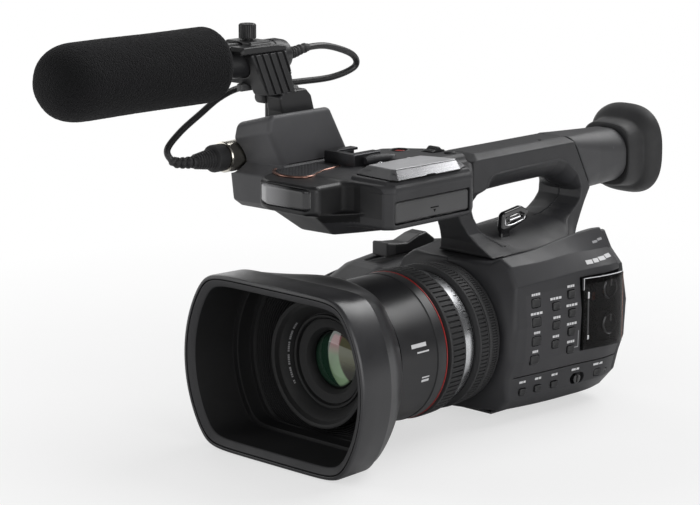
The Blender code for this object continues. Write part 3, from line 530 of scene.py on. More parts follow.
def smooth_path(controls, steps):
    """Catmull-Rom curve through the control points."""
    ctrl = [np.array(point, float) for point in controls]
    ctrl = [ctrl[0] * 2 - ctrl[1]] + ctrl + [ctrl[-1] * 2 - ctrl[-2]]
    out = []
    for i in range(1, len(ctrl) - 2):
        a, b, c, d = ctrl[i - 1:i + 3]
        for k in range(steps):
            t = k / steps
            out.append(0.5 * ((2 * b) + (c - a) * t + (2 * a - 5 * b + 4 * c - d) * t * t
                              + (3 * b - 3 * c + d - a) * t ** 3))
    out.append(ctrl[-2])
    return out


# ================================================================ solid fields
# A field gives a signed distance, negative inside; pos holds arrays of x, y and z.
def sharp_polygon(across, up, corners):
    """Signed distance to a polygon; its corners may be arrays, one value a point."""
    nearest = np.full(np.shape(across), 1e18)
    sign = np.ones(np.shape(across))
    for i in range(len(corners)):
        ax, ay = corners[i]
        bx, by = corners[i - 1]
        ex, ey = bx - ax, by - ay
        wx, wy = across - ax, up - ay
        t = np.clip((wx * ex + wy * ey) / (ex * ex + ey * ey + 1e-12), 0, 1)
        dx, dy = wx - ex * t, wy - ey * t
        nearest = np.minimum(nearest, dx * dx + dy * dy)
        above, below, left = up >= ay, up < by, ex * wy > ey * wx
        crossed = (above & below & left) | (~above & ~below & ~left)
        sign = np.where(crossed, -sign, sign)
    return sign * np.sqrt(nearest)


def inset(corners, distance):
    """Polygon shrunk by distance with mitred corners."""
    pts = np.array(corners, float)
    area = 0.5 * np.sum(pts[:, 0] * np.roll(pts[:, 1], -1) - np.roll(pts[:, 0], -1) * pts[:, 1])
    turn = 1.0 if area > 0 else -1.0
    out = []
    for i in range(len(pts)):
        corner = pts[i]
        arrive, leave = corner - pts[i - 1], pts[(i + 1) % len(pts)] - corner
        arrive /= np.linalg.norm(arrive) + 1e-12
        leave /= np.linalg.norm(leave) + 1e-12
        first = turn * np.array([-arrive[1], arrive[0]])
        second = turn * np.array([-leave[1], leave[0]])
        mitre = 1 + first @ second
        out.append(tuple(corner + (first + second) / max(mitre, 0.35) * distance))
    return out


def polygon(across, up, corners, rounding):
    """Polygon with its outer corners rounded."""
    return sharp_polygon(across, up, inset(corners, rounding)) - rounding


def slab(flat, along, low, high, rim=0.0):
    """Extrudes a 2D field between two heights, rounding the rim."""
    height = np.abs(along - (low + high) / 2) - (high - low) / 2
    if rim <= 0:
        return np.maximum(flat, height)
    side, cap = flat + rim, height + rim
    return (np.minimum(np.maximum(side, cap), 0)
            + np.hypot(np.maximum(side, 0), np.maximum(cap, 0)) - rim)


def box(pos, low, high, rounding=0.0):
    """Rounded box between two corners."""
    gap = [np.abs(a - (l + h) / 2) - (h - l) / 2 + rounding for a, l, h in zip(pos, low, high)]
    out = np.sqrt(sum(np.maximum(a, 0) ** 2 for a in gap))
    return out + np.minimum(np.maximum(np.maximum(gap[0], gap[1]), gap[2]), 0) - rounding


def bore(away, along, low, high, radius, end_radius=None):
    """Cylinder or cone frustum; away is the distance from its axis."""
    corners = [(0, low), (radius, low), (end_radius or radius, high), (0, high)]
    return sharp_polygon(away, along, corners)


def soft_min(first, second, width):
    near = np.maximum(width - np.abs(first - second), 0) / width
    return np.minimum(first, second) - near * near * width * 0.25


def soft_max(first, second, width):
    return -soft_min(-first, -second, width)


def cut(shape, tool, soft=0.0):
    """shape without tool, with the edge softened."""
    return soft_max(shape, -tool, soft) if soft else np.maximum(shape, -tool)


def overlap(*fields):
    return reduce(np.maximum, fields)


def smooth01(t):
    t = np.clip(t, 0, 1)
    return t * t * (3 - 2 * t)


def local(pos, centre, angles):
    """Coordinates in a frame turned by Euler angles about centre."""
    turn = rotation(angles)
    off = [a - c for a, c in zip(pos, centre)]
    return [turn[0, i] * off[0] + turn[1, i] * off[1] + turn[2, i] * off[2] for i in range(3)]


def sections(across, up, along, table, rounding):
    """Loft of {station: outline} along an axis, corners rounded, eased between stations."""
    stations = np.array(sorted(table), float)
    outlines = np.array([inset(table[k], rounding) for k in sorted(table)], float)
    slope = np.gradient(outlines, stations, axis=0)
    fine = np.linspace(stations[0], stations[-1], 161)
    k = np.clip(np.searchsorted(stations, fine) - 1, 0, len(stations) - 2)
    gap = stations[k + 1] - stations[k]
    t = ((fine - stations[k]) / gap)[:, None, None]
    gap = gap[:, None, None]
    eased = ((2 * t ** 3 - 3 * t ** 2 + 1) * outlines[k]
             + (t ** 3 - 2 * t ** 2 + t) * gap * slope[k]
             + (-2 * t ** 3 + 3 * t ** 2) * outlines[k + 1]
             + (t ** 3 - t ** 2) * gap * slope[k + 1])
    corners = [tuple(np.interp(along, fine, eased[:, i, axis]) for axis in range(2))
               for i in range(outlines.shape[1])]
    return sharp_polygon(across, up, corners) - rounding


BLOCK = 8       # grid cells along a side of the blocks that are tested first
CHUNK = 300000  # points evaluated at once
TETRAHEDRON = np.array([[1, -1, -1], [-1, -1, 1], [-1, 1, -1], [1, 1, 1]], float)


def contour(field, low, high, step):
    """Dual contouring of field < 0: vertices, quads and vertex normals."""
    low = np.array(low, float) - 2.37 * step
    high = np.array(high, float) + 2 * step
    blocks = np.ceil((high - low) / (step * BLOCK)).astype(int)
    size = blocks * BLOCK + 1

    def evaluate(points):
        out = np.empty(len(points))
        for s in range(0, len(points), CHUNK):
            out[s:s + CHUNK] = field(points[s:s + CHUNK].T)
        return out

    def gradient(points, reach):
        total = np.zeros((len(points), 3))
        for way in TETRAHEDRON:
            total += evaluate(points + way * reach)[:, None] * way
        return total / (np.linalg.norm(total, axis=1, keepdims=True) + 1e-12)

    # Coarse pass: only blocks that may hold the surface get a full grid of values.
    index = np.stack(np.meshgrid(*[np.arange(k) for k in blocks], indexing="ij"), -1)
    middle = evaluate(low + (index.reshape(-1, 3) + 0.5) * (BLOCK * step)).reshape(blocks)
    active = np.argwhere(np.abs(middle) < BLOCK * step * 0.87 * 1.35)
    coarse = np.where(middle < 0, -1e3, 1e3)
    for axis in range(3):
        coarse = np.repeat(coarse, BLOCK, axis)
    values = np.full(size, 1e3, np.float32)
    values[:-1, :-1, :-1] = coarse
    inside = np.stack(np.meshgrid(*[np.arange(BLOCK + 1)] * 3, indexing="ij"), -1)
    inside = inside.reshape(-1, 3)
    for s in range(0, len(active), 400):
        index = (active[s:s + 400, None, :] * BLOCK + inside[None]).reshape(-1, 3)
        key = np.unique((index[:, 0] * size[1] + index[:, 1]) * size[2] + index[:, 2])
        index = np.stack([key // (size[1] * size[2]), (key // size[2]) % size[1],
                          key % size[2]], -1)
        values[tuple(index.T)] = evaluate(low + index * step)

    # Crossings on grid edges, refined along each edge.
    edges, crossings, starts_inside = [], [], []
    for axis in range(3):
        near, far = [slice(None)] * 3, [slice(None)] * 3
        near[axis], far[axis] = slice(0, -1), slice(1, None)
        near, far = values[tuple(near)], values[tuple(far)]
        hit = np.argwhere((near < 0) != (far < 0))
        start = near[tuple(hit.T)].astype(float)
        origin = low + hit * step
        t_near, t_far = np.zeros(len(hit)), np.ones(len(hit))
        v_near, v_far = start, far[tuple(hit.T)].astype(float)
        for _ in range(2):
            share = np.clip(v_near / (v_near - v_far + 1e-30), 0.02, 0.98)
            t = t_near + (t_far - t_near) * share
            point = origin.copy()
            point[:, axis] += t * step
            value = evaluate(point)
            same = (value < 0) == (v_near < 0)
            t_near, v_near = np.where(same, t, t_near), np.where(same, value, v_near)
            t_far, v_far = np.where(same, t_far, t), np.where(same, v_far, value)
        t = t_near + (t_far - t_near) * np.clip(v_near / (v_near - v_far + 1e-30), 0, 1)
        point = origin.copy()
        point[:, axis] += t * step
        edges.append(hit)
        crossings.append(point)
        starts_inside.append(start < 0)
    crossings = np.concatenate(crossings)
    normals = gradient(crossings, 0.03)

    # Each crossed edge makes a quad between its four cells.
    cell_size = size - 1
    quads = []
    for axis in range(3):
        first, second = [(1, 2), (2, 0), (0, 1)][axis]
        around = []
        for i, j in ((-1, -1), (0, -1), (0, 0), (-1, 0)):
            cell = edges[axis].copy()
            cell[:, first] += i
            cell[:, second] += j
            around.append((cell[:, 0] * cell_size[1] + cell[:, 1]) * cell_size[2] + cell[:, 2])
        around = np.stack(around, -1)
        flip = ~starts_inside[axis]
        around[flip] = around[flip][:, ::-1]
        quads.append(around)
    quads = np.concatenate(quads)
    cells, vertex = np.unique(quads.ravel(), return_inverse=True)
    faces = vertex.reshape(quads.shape)
    vertex = faces.ravel()
    count = len(cells)
    edge = np.repeat(np.arange(len(quads)), 4)

    # Each cell's vertex is the least-squares meeting point of its tangent planes.
    hits = np.bincount(vertex, minlength=count).astype(float)
    mass = np.stack([np.bincount(vertex, crossings[edge, k], count) for k in range(3)], -1)
    mass = mass / hits[:, None]
    matrix = np.zeros((count, 3, 3))
    target = np.zeros((count, 3))
    planes = normals[edge]
    offset = np.einsum("ij,ij->i", planes, crossings[edge] - mass[vertex])
    for i in range(3):
        target[:, i] = np.bincount(vertex, planes[:, i] * offset, count)
        for j in range(i, 3):
            both = np.bincount(vertex, planes[:, i] * planes[:, j], count)
            matrix[:, i, j] = matrix[:, j, i] = both
    matrix += np.eye(3) * 0.08
    shift = np.linalg.solve(matrix, target[:, :, None])[:, :, 0]
    verts = mass + np.clip(shift, -0.75 * step, 0.75 * step)
    cell = np.stack([cells // (cell_size[1] * cell_size[2]),
                     (cells // cell_size[2]) % cell_size[1], cells % cell_size[2]], -1)
    verts = np.clip(verts, low + (cell - 0.02) * step, low + (cell + 1.02) * step)
    return verts, faces, gradient(verts, 0.12 * step)


def solid(name, field, low, high, step, mat, body=BODY, node=None, slot=None):
    """Meshes a solid field; slot(centres, normals) may pick a material per face."""
    verts, faces, normals = contour(field, low, high, step)
    mesh = bpy.data.meshes.new(name)
    mesh.vertices.add(len(verts))
    mesh.vertices.foreach_set("co", row_frame(verts).astype(np.float32).ravel())
    mesh.loops.add(len(faces) * 4)
    mesh.loops.foreach_set("vertex_index", faces.astype(np.int32).ravel())
    mesh.polygons.add(len(faces))
    starts = np.arange(0, len(faces) * 4, 4, dtype=np.int32)
    mesh.polygons.foreach_set("loop_start", starts)
    mesh.update(calc_edges=True)
    mesh.validate()
    coat_mesh(mesh, mat)
    if slot is not None:
        slots = slot(verts[faces].mean(1), normals[faces].mean(1))
        mesh.polygons.foreach_set("material_index", np.asarray(slots, np.int32))
    mesh.shade_smooth()
    mesh.normals_split_custom_set_from_vertices(normals.tolist())
    return add_object(name, mesh, body, node)


def within(centres, low, high):
    """True for the face centres inside a box."""
    return np.all((centres > low) & (centres < high), axis=1)


# ================================================================ lens hood
# Rows are (y, half width, half height, squareness 0-1), from the rear collar forward
# along the outside, over the rim and back along the inside.
HOOD_WIDTH = 74.0           # half width of the front band
HOOD_SIDE_RADIUS = 80.0     # bow of its sides
HOOD_COLLAR = [(-38.9, 43.6, 43.6, 0), (-39.5, 44.1, 44.1, 0), (-42.0, 44.5, 44.4, 0.02)]
HOOD_TAPER = [(-43.6, 46.0, 44.6, 0.12), (-50, 54.6, 46.6, 0.55), (-60, 63.2, 48.5, 0.86),
              (-70, 69.4, 50.5, 0.98), (-78.5, 72.5, 52.5, 1.0)]
HOOD_BAND = [
    (-78.6, 72.9, 52.9, 1), (-78.8, 73.1, 53.05, 1), (-79.2, 73.15, 53.1, 1),
    (-80.2, 73.2, 53.1, 1), (-90, 73.6, 53.25, 1), (-100.6, HOOD_WIDTH, 53.4, 1),
    (-101.6, 73.8, 53.2, 1), (-102.3, 73.4, 52.8, 1), (-102.6, 72.8, 52.2, 1),
    (-102.6, 72.0, 51.4, 1), (-102.4, 71.75, 51.15, 1)]
HOOD_RIM_GROOVE = [(-101.2, 71.6, 51.0, 1), (-101.2, 71.2, 50.6, 1)]
HOOD_RIM = [(-102.1, 71.0, 50.4, 1), (-102.15, 70.7, 50.1, 1), (-100.4, 67.6, 46.9, 1),
            (-100.0, 67.2, 46.5, 1)]
HOOD_STEPS = [
    (-99.4, 66.9, 46.2, 1), (-71.4, 65.0, 45.4, 1), (-70.7, 64.6, 45.0, 1),
    (-70.5, 61.4, 43.6, 1), (-70.2, 61.0, 43.2, 1), (-69.6, 60.8, 43.1, 1),
    (-62.0, 60.0, 42.9, 1), (-61.4, 59.6, 42.6, 1), (-61.2, 57.2, 41.8, 0.95),
    (-60.8, 56.8, 41.6, 0.94)]
HOOD_THROAT = [(-55.0, 39.2, 39.2, 0), (-46.5, 39.0, 39.0, 0), (-38.9, 39.0, 39.0, 0)]


def hood_ring(y, half_width, half_height, square, angles):
    """One row: a circle blended into a bowed rectangle with tight corners."""
    power = 18
    side_radius = HOOD_SIDE_RADIUS * half_width / HOOD_WIDTH
    across, up = np.abs(np.cos(angles)), np.abs(np.sin(angles))
    off = side_radius - half_width
    side = -off * across + np.sqrt((off * across) ** 2 + side_radius * side_radius - off * off)
    top = half_height / np.maximum(up, 1e-6)
    bowed = (side ** -power + top ** -power) ** (-1.0 / power)
    radius = square * bowed + (1 - square) * half_width
    return np.stack([radius * np.cos(angles), np.full(len(angles), y),
                     radius * np.sin(angles)], -1)


def hood_ribs(count=13):
    """Ribbed cone down to the lens."""
    rows = []
    for i in range(count):
        t = i / (count - 1)
        width = 55.6 + (40.2 - 55.6) * t
        square = 0.9 * (1 - t) ** 1.3
        height = 41.2 + (40.2 - 41.2) * t
        y = -60.0 + 4.5 * t
        rows += [(y, width, height, square),
                 (y - 0.55, width - 0.25, height - 0.1, square * 0.98),
                 (y - 0.55, width - 0.75, height - 0.15, square * 0.95)]
    return rows


def build_hood(seg=288):
    angles = (np.arange(seg) + 0.5) * tau / seg
    skin, rim, inside = range(3)
    rows, slots = [], []
    for slot, part in ((skin, HOOD_COLLAR), (skin, smooth_path(HOOD_TAPER, 5)),
                       (skin, HOOD_BAND), (inside, HOOD_RIM_GROOVE), (rim, HOOD_RIM),
                       (inside, HOOD_STEPS), (inside, hood_ribs()), (inside, HOOD_THROAT)):
        rows += part
        slots += [slot] * len(part)
    verts = np.concatenate([hood_ring(*row, angles) for row in rows])
    loft("lens_hood_shell", verts, grid_faces(len(rows), seg, True),
         ["hood_skin", "hood_rim", "hood_inside"], node="lens_hood", sharp=32.0,
         slots=np.repeat(slots, seg))


build_hood()

# ================================================================ barrel, cone and glass
# Profiles are (radius, y).
CONE_STEPS = []
for i in range(7):
    t = i / 6
    CONE_STEPS += [(36.1 - 1.9 * t, -63.9 + 1.7 * t), (36.5 - 1.9 * t, -63.6 + 1.7 * t)]
BARREL = [
    (44.3, -38.7), (44.4, -31), (44.55, -9.4), (44.6, -9.0), (44.3, -8.8), (44.3, -8.3),
    (44.7, -8.1), (45.0, -7.8), (45.0, -1.4), (44.9, -0.95), (44.4, -0.7), (44.4, -0.2),
    (43.6, 0.2), (38.2, 0.2), (38.2, 49.0), (34.6, 49.0), (34.6, -42.0), (17.9, -42.0),
    (17.8, -49.6), (18.1, -50.6), (19.6, -52.4), (20.1, -52.9), (24.6, -53.5), (25.3, -53.9),
    (25.6, -53.4), (25.6, -52.6), (26.3, -52.6), (26.5, -55.2), (27.0, -55.6), (27.8, -55.6),
    (28.1, -55.0), (28.3, -54.2), (28.9, -54.2), (29.2, -55.6), (33.8, -61.4),
    *CONE_STEPS[::-1], (36.9, -64.3), (37.4, -64.6), (38.2, -64.6), (38.5, -64.3),
    (38.5, -39.2), (38.7, -38.7)]


def barrel_slot(row):
    """Outer skin is slot 0, everything inside it slot 1."""
    (radius, y), (next_radius, next_y) = BARREL[row], BARREL[(row + 1) % len(BARREL)]
    return 0 if min(radius, next_radius) > 38.6 and max(y, next_y) < 1 else 1


lathe("lens_barrel_tube", BARREL, ["barrel_skin", "cone_skin"], node="lens_barrel", seg=256,
      slot_of=barrel_slot, sharp=30)
lathe("barrel_red_line",
      [(44.5, -0.72), (45.12, -0.72), (45.2, -0.45), (45.12, -0.12), (44.5, -0.1)],
      "red_line", seg=256)
# painted shade: near-black ring in the gap between the barrel and the focus ring
lathe("barrel_gap", [(38.6, 0.5), (43.4, 0.5), (43.4, 2.2), (38.6, 2.2)], "gap_dark", seg=128)


def inner_glass():
    """Painted reflections inside the front element: soft coloured discs (mm) over one another,
    also shown as a faint painted glow.
    """
    net = Material("lens_depth")
    place = net.axes()
    x = net.math("MULTIPLY", place["X"], 1000.0)
    z = net.math("MULTIPLY", net.math("SUBTRACT", place["Z"], 0.051), 1000.0)

    def disc(centre, radius, soft):
        off = [net.math("SUBTRACT", a, c) for a, c in zip((x, z), centre)]
        square = net.math("ADD", *[net.math("MULTIPLY", a, a) for a in off])
        return net.span(net.math("SQRT", square), to=(1.0, 0.0),
                        band=(radius - soft, radius + soft))

    # painted reflections of the inner lens elements: a green disc, pale and rose crescents, an
    # olive patch
    green = disc((-1.5, -1.0), radius=14.8, soft=2.2)
    color = net.mix(green, (0.0015, 0.002, 0.002), (0.007, 0.021, 0.013))
    rose = net.span(z, band=(3.0, 10.0))
    pale = net.mix(rose, (0.13, 0.175, 0.11), (0.22, 0.065, 0.085))
    glint_spot = net.span(disc((13, -9), radius=12, soft=5.0), to=(0, 0.7), band=(0, 1))
    pale = net.mix(glint_spot, pale, (0.24, 0.32, 0.21))
    pale_reflection_area = net.math("MULTIPLY", disc((22, 3), radius=26, soft=0.5),
                         disc((0, 0), radius=15.6, soft=0.8))
    color = net.mix(pale_reflection_area, color, pale)
    olive = net.mix(net.span(z, band=(-6.0, 1.0)), (0.018, 0.012, 0.008),
                    (0.060, 0.052, 0.024))
    olive_reflection_area = net.math("MULTIPLY", disc((31, 7), radius=27, soft=0.6),
                          disc((0, 0), radius=16.2, soft=0.5))
    color = net.mix(olive_reflection_area, color, olive)
    color = net.mix(disc((0, 0), radius=16.4, soft=0.4), (0.001, 0.001, 0.001), color)
    net.shade({
        "Base Color": color,
        # painted glow: the glass emits its painted reflection colours though it is no lamp
        "Emission Color": color,
        "Emission Strength": 0.35,
        "Roughness": 0.05,
        "IOR": 1.7,
        "Coat Weight": 0.6,
        "Coat Roughness": 0.015,
        "Coat Tint": (0.75, 0.88, 0.78)})


inner_glass()
GLASS_RADIUS = 17.45
GLASS_HALF_ANGLE = radians(40)
dome = [(GLASS_RADIUS * sin(radians(t)) / sin(GLASS_HALF_ANGLE),
         -50.9 + 2.6 * (1 - cos(radians(t))) / (1 - cos(GLASS_HALF_ANGLE)))
        for t in np.linspace(40, 0.0, 26)]
lathe("front_glass", [(0.0, -43.0), (GLASS_RADIUS, -43.0)] + dome, "lens_depth",
      node="front_element", seg=160, closed=False, sharp=50)


# ================================================================ the rings
RING_BORE = 38.7


def ribbed_ring(name, node, body, y_span, radii, count, depth, lip, duty=0.62, soft=0.14,
                per_rib=10):
    """Rubber ring with ribs between two plain lips; radii are at the two ends of y_span."""
    y_min, y_max = y_span

    def radius(y):
        return radii[0] + (radii[1] - radii[0]) * (y - y_min) / (y_max - y_min)

    first, last = y_min + lip, y_max - lip
    profile = [(RING_BORE, y_min), (radius(y_min) - 0.9, y_min),
               (radius(y_min) - 0.25, y_min + 0.2), (radius(y_min), y_min + 0.75),
               (radius(first), first)]
    for t in (0.02, 0.06, 0.12, 0.5, 0.88, 0.94, 0.98):
        y = first + (last - first) * t
        profile.append((radius(y) + 0.12 * min(1, 6 * min(t, 1 - t)), y))
    profile += [(radius(last), last), (radius(y_max), y_max - 0.75),
                (radius(y_max) - 0.25, y_max - 0.2), (radius(y_max) - 0.9, y_max),
                (RING_BORE, y_max)]
    lathe(name, profile, "ring_rubber", body, node, seg=count * per_rib,
          wave=ribs(count, depth, duty, soft, range(5, 12)), sharp=28)


ribbed_ring("focus_grip", "focus_ring", "focus", y_span=(2.6, 16.3), radii=(45.9, 45.5),
            count=84, depth=1.05, lip=1.7)
lathe("scale_band",
      round_profile([(RING_BORE, 16.9), (43.5, 16.9), (43.9, 17.4), (41.6, 28.2), (41.0, 28.9),
                     (RING_BORE, 28.9)], [0, 0.3, 0.4, 0.4, 0.3, 0]),
      "ring_silver", node="scale_ring", seg=256, sharp=25)
# painted shade: dark band in the groove of the scale band
lathe("scale_band_groove", [(41.3, 27.1), (42.02, 26.9), (41.85, 27.6), (41.2, 27.8)],
      "gap_dark", seg=192)
ribbed_ring("zoom_grip", "zoom_ring", "zoom", y_span=(29.6, 38.0), radii=(44.9, 44.9),
            count=112, depth=0.8, lip=1.1, per_rib=8)
ribbed_ring("iris_grip", "iris_ring", "iris", y_span=(39.0, 48.6), radii=(44.3, 44.0),
            count=168, depth=0.55, lip=2.6, duty=0.45, soft=0.3, per_rib=6)
# painted shade: near-black rings at the bottom of the gaps between the rings
for i, y in enumerate((16.32, 28.95, 38.05, 48.62)):
    lathe("ring_gap_%d" % (i + 1), [(38.5, y), (40.4, y), (40.4, y + 0.5), (38.5, y + 0.5)],
          "gap_dark")


def ring_mark(name, radius, angle, y, width, length, mat, proud):
    """Small curved mark on a ring surface; radius is a function of y, angle in degrees."""
    steps = 6
    verts, faces = [], []
    for i in range(steps + 1):
        turn = radians(angle) + (i / steps - 0.5) * width / radius(y)
        for end in (y - length / 2, y + length / 2):
            for lift in (-0.15, proud):
                away = radius(end) + lift
                verts.append((away * cos(turn), end, away * sin(turn)))
    for i in range(steps):
        for quad in ((0, 1, 3, 2), (1, 5, 7, 3), (3, 7, 6, 2), (0, 2, 6, 4), (0, 4, 5, 1)):
            faces.append([i * 4 + k for k in quad])
    faces.append([0, 1, 3, 2])
    faces.append([steps * 4 + k for k in (0, 2, 3, 1)])
    loft(name, verts, faces, mat)


def scale_band_radius(y):
    return 43.9 + (41.6 - 43.9) * (y - 17.4) / 10.8


for i in range(-9, 10):
    y, length = (24.6, 2.2) if i % 3 else (23.8, 4.0)
    ring_mark("scale_tick_%d" % (i + 9), scale_band_radius, 62 + i * 5.0, y, 0.55, length,
              "gap_dark", proud=0.05)


def cone_ticks():
    """A run of plain printed ticks on the conical ring round the glass."""
    verts, faces = [], []
    for k in range(31):
        if k % 6 == 4:
            continue
        angle = radians(140.5 + k * 2.45)
        half = (0.42, 0.55, 0.36, 0.6, 0.48)[k % 5]
        along = np.array([-sin(angle), 0, cos(angle)])
        away = np.array([cos(angle), 0, sin(angle)])
        up = (away * 4.6 + np.array([0, -5.8, 0])) / 7.4
        out = (-away * 5.8 + np.array([0, -4.6, 0])) / 7.4
        centre = away * 30.7 + np.array([0, -57.49, 0])
        faces += box_faces(len(verts))
        for lift in (-0.12, 0.07):
            for x, y in rectangle(half, 0.55):
                verts.append(tuple(centre + along * x + up * y + out * lift))
    loft("lens_ring_ticks", verts, faces, "label_grey")


cone_ticks()
# angle in degrees, y, width, length
BARREL_MARKS = [(15.0, -23.4, 2.4, 12.5), (9.6, -20.5, 0.9, 10.0), (-10.8, -18.0, 0.8, 6.4),
                (-13.6, -18.0, 1.5, 6.4)]
for i, mark in enumerate(BARREL_MARKS):
    ring_mark("barrel_mark_%d" % (i + 1), lambda y: 44.45, *mark, "label_white", proud=0.06)

# ================================================================ microphone and its foam
MIC_CENTRE = (-80, 0, 170)
FOAM_RADIUS = 22.7


def foam_windscreen():
    profile = [(0.0, -199.0)]
    for t in np.linspace(4, 90, 26):
        turn = radians(t)
        profile.append((FOAM_RADIUS * sin(turn) ** 0.82, -199.0 + 26.0 * (1 - cos(turn) ** 0.8)))
    for y in np.linspace(-170, -80, 60):
        profile.append((FOAM_RADIUS, y))
    for t in np.linspace(0, 88, 12):
        turn = radians(t)
        profile.append((FOAM_RADIUS - 7.5 * (1 - cos(turn)), -78.0 + 7.5 * sin(turn)))
    profile += [(13.5, -70.4), (10.8, -70.6), (10.7, -78.0)]
    lump = np.random.default_rng(7).normal(size=(7, 4))

    def wave(row, angles):
        """Slow lumps round and along the foam, and a fine random roughness."""
        radius, y = profile[row]
        slow = np.zeros(len(angles))
        for m in range(7):
            slow += (0.10 * np.sin(angles * (m + 1) + lump[m, 0] * 3 + y * 0.05 * lump[m, 1])
                     * sin(y * 0.07 * lump[m, 2] + lump[m, 3]))
        fine = np.random.default_rng(1000 + row).uniform(-0.16, 0.0, len(angles))
        return (slow * 0.6 + fine - 0.15) * min(1, radius / 6)

    lathe("foam_windscreen", profile, "foam_cells", node="windscreen", centre=MIC_CENTRE,
          seg=200, wave=wave, closed=False, sharp=80)


foam_windscreen()
MICROPHONE = [
    (0, -178), (9, -178), (10.5, -176), (10.5, -66), (10.1, -65.6), (10.1, -64.4), (10.5, -64),
    (10.5, -26), (10.1, -25.6), (10.1, -24.6), (10.5, -24.2), (10.5, -19), (9.2, -13),
    (5.2, -10.2), (4.4, -9.6), (0, -9.6)]
lathe("microphone_tube",
      round_profile(MICROPHONE, [0, 0.5] + [0.3] * 9 + [0.6, 0.8, 0.6, 0.3, 0]),
      "barrel_skin", node="microphone", centre=MIC_CENTRE, seg=128, closed=False, sharp=30)


def strain_relief(name, path, start_radius, end_radius):
    """Ribbed boot along a short path."""
    radii = []
    for i in range(len(path)):
        t = i / (len(path) - 1)
        rib = 0.35 if (i // 2) % 2 else -0.15
        radii.append(start_radius + (end_radius - start_radius) * t + rib)
    wire(name, path, radii, "ring_rubber", seg=28)


PLUG = (-94.0, 14.4, 109.7)
CABLE = [
    (-80, -9.0, 170), (-80, -3, 170.4), (-80.5, 8, 172), (-82, 28, 171), (-86, 54, 163),
    (-89, 60, 154.5), (-93, 44, 149), (-98, 20, 148), (-102, 0, 148), (-103.5, -25, 148.5),
    (-101.5, -45, 145), (-97, -66, 138), (-92, -88, 130), (-87, -103, 122),
    (-82, -102, 115.6), (-80, -91.2, 114)]
# The last points are drawn over, by growing shares, to meet the plug.
CABLE_SHIFT = (-14.0, 14.4, -4.3)
for i, share in enumerate((0.15, 0.4, 0.7, 0.9, 1.0, 1.0), start=10):
    CABLE[i] = tuple(a + share * shift for a, shift in zip(CABLE[i], CABLE_SHIFT))
wire("cable_jacket", smooth_path(CABLE, 16), 2.05, "cable_skin", "mic_cable", seg=24)
strain_relief("mic_boot", smooth_path(CABLE[:4], 12)[:26], 3.9, 2.6)
strain_relief("plug_boot", smooth_path(CABLE[-3:], 12)[8:], 2.7, 3.4)

PLUG_REAR = [(0, -90.4), (3.4, -90.4), (4.0, -88.5)]
for i in range(7):
    y = -87.5 + i * 1.9
    grow = i * 0.28
    PLUG_REAR += [(4.2 + grow, y), (4.6 + grow, y + 0.35), (4.6 + grow, y + 1.05),
                  (4.1 + grow, y + 1.35)]
PLUG_REAR += [(6.5, -74.0), (8.2, -73.3), (8.4, -72.6), (8.4, -66.0), (7.9, -65.4),
              (7.9, -64.6), (0, -64.6)]
PLUG_SHELL = [
    (7.0, -65.2), (9.1, -65.0), (9.5, -64.3), (9.5, -55.0), (9.25, -54.6), (9.25, -53.8),
    (9.5, -53.4), (9.5, -37.0), (9.2, -36.5), (0, -36.5), (0, -60), (7.0, -60)]
lathe("plug_rear", PLUG_REAR, "ring_rubber", centre=PLUG, closed=False)
lathe("plug_shell", PLUG_SHELL, "plug_nickel", node="xlr_plug", centre=PLUG, sharp=25)
lathe("plug_gold_band", [(9.3, -49.6), (9.62, -49.3), (9.62, -44.6), (9.3, -44.3)],
      "plug_nickel", centre=PLUG)
lathe("plug_collar",
      round_profile([(9.7, -41.6), (11.2, -41.6), (11.6, -41.0), (11.6, -37.6), (9.7, -37.6)],
                    0.3),
      "plug_nickel", centre=PLUG)

# ================================================================ eyecup and eyepiece
EYE_Z = 91.5
# y, half width, half height, power of the superellipse
EYECUP = [
    (202.5, 18.2, 17.8, 2.6), (202.1, 19.4, 19.4, 2.8), (202.7, 20.2, 20.4, 3.0),
    (204.0, 20.5, 20.8, 3.1), (208.0, 20.8, 21.2, 3.2), (212.0, 21.1, 21.6, 3.2),
    (214.6, 21.4, 22.0, 3.2), (215.5, 21.9, 22.6, 3.2), (216.4, 23.2, 24.2, 3.2),
    (218.2, 25.0, 26.4, 3.2), (220.8, 26.7, 28.1, 2.9), (223.6, 28.0, 29.1, 2.7),
    (225.6, 28.7, 29.5, 2.6), (226.4, 28.6, 29.4, 2.6), (226.5, 28.1, 28.9, 2.6),
    (224.4, 26.9, 27.9, 2.7), (221.0, 25.2, 26.3, 2.8), (218.4, 22.4, 23.2, 2.9),
    (216.0, 20.2, 20.6, 2.8), (212, 17.8, 18.2, 2.3), (207, 16.6, 16.8, 2.2),
    (202.5, 16.0, 16.0, 2.0)]


def build_eyecup(seg=120):
    angles = np.arange(seg) * tau / seg
    across, up = np.cos(angles), np.sin(angles)
    rings = []
    for y, half_width, half_height, power in EYECUP:
        x = half_width * np.sign(across) * np.abs(across) ** (2 / power)
        z = half_height * np.sign(up) * np.abs(up) ** (2 / power)
        middle = EYE_Z + 1.3 * min(max((y - 214) / 8, 0), 1)
        rings.append(np.stack([x, np.full(seg, float(y)), middle + z], -1))
    cup = loft("eyecup_rubber_shell", np.concatenate(rings),
               grid_faces(len(EYECUP), seg, True), "eyecup_rubber", "viewfinder", "eyecup",
               sharp=38.0)
    soft = cup.modifiers.new("soft", "SUBSURF")
    soft.levels = soft.render_levels = 1


build_eyecup()
lathe("eyepiece_lens",
      [(0, 205.0), (4, 204.9), (8, 204.4), (12, 203.4), (12.4, 202.2), (14.6, 201.6),
       (14.8, 200.8), (14.8, 186), (0, 186)],
      "screen_black", "viewfinder", "evf_eyepiece", centre=(0, 0, EYE_Z), closed=False,
      sharp=25)

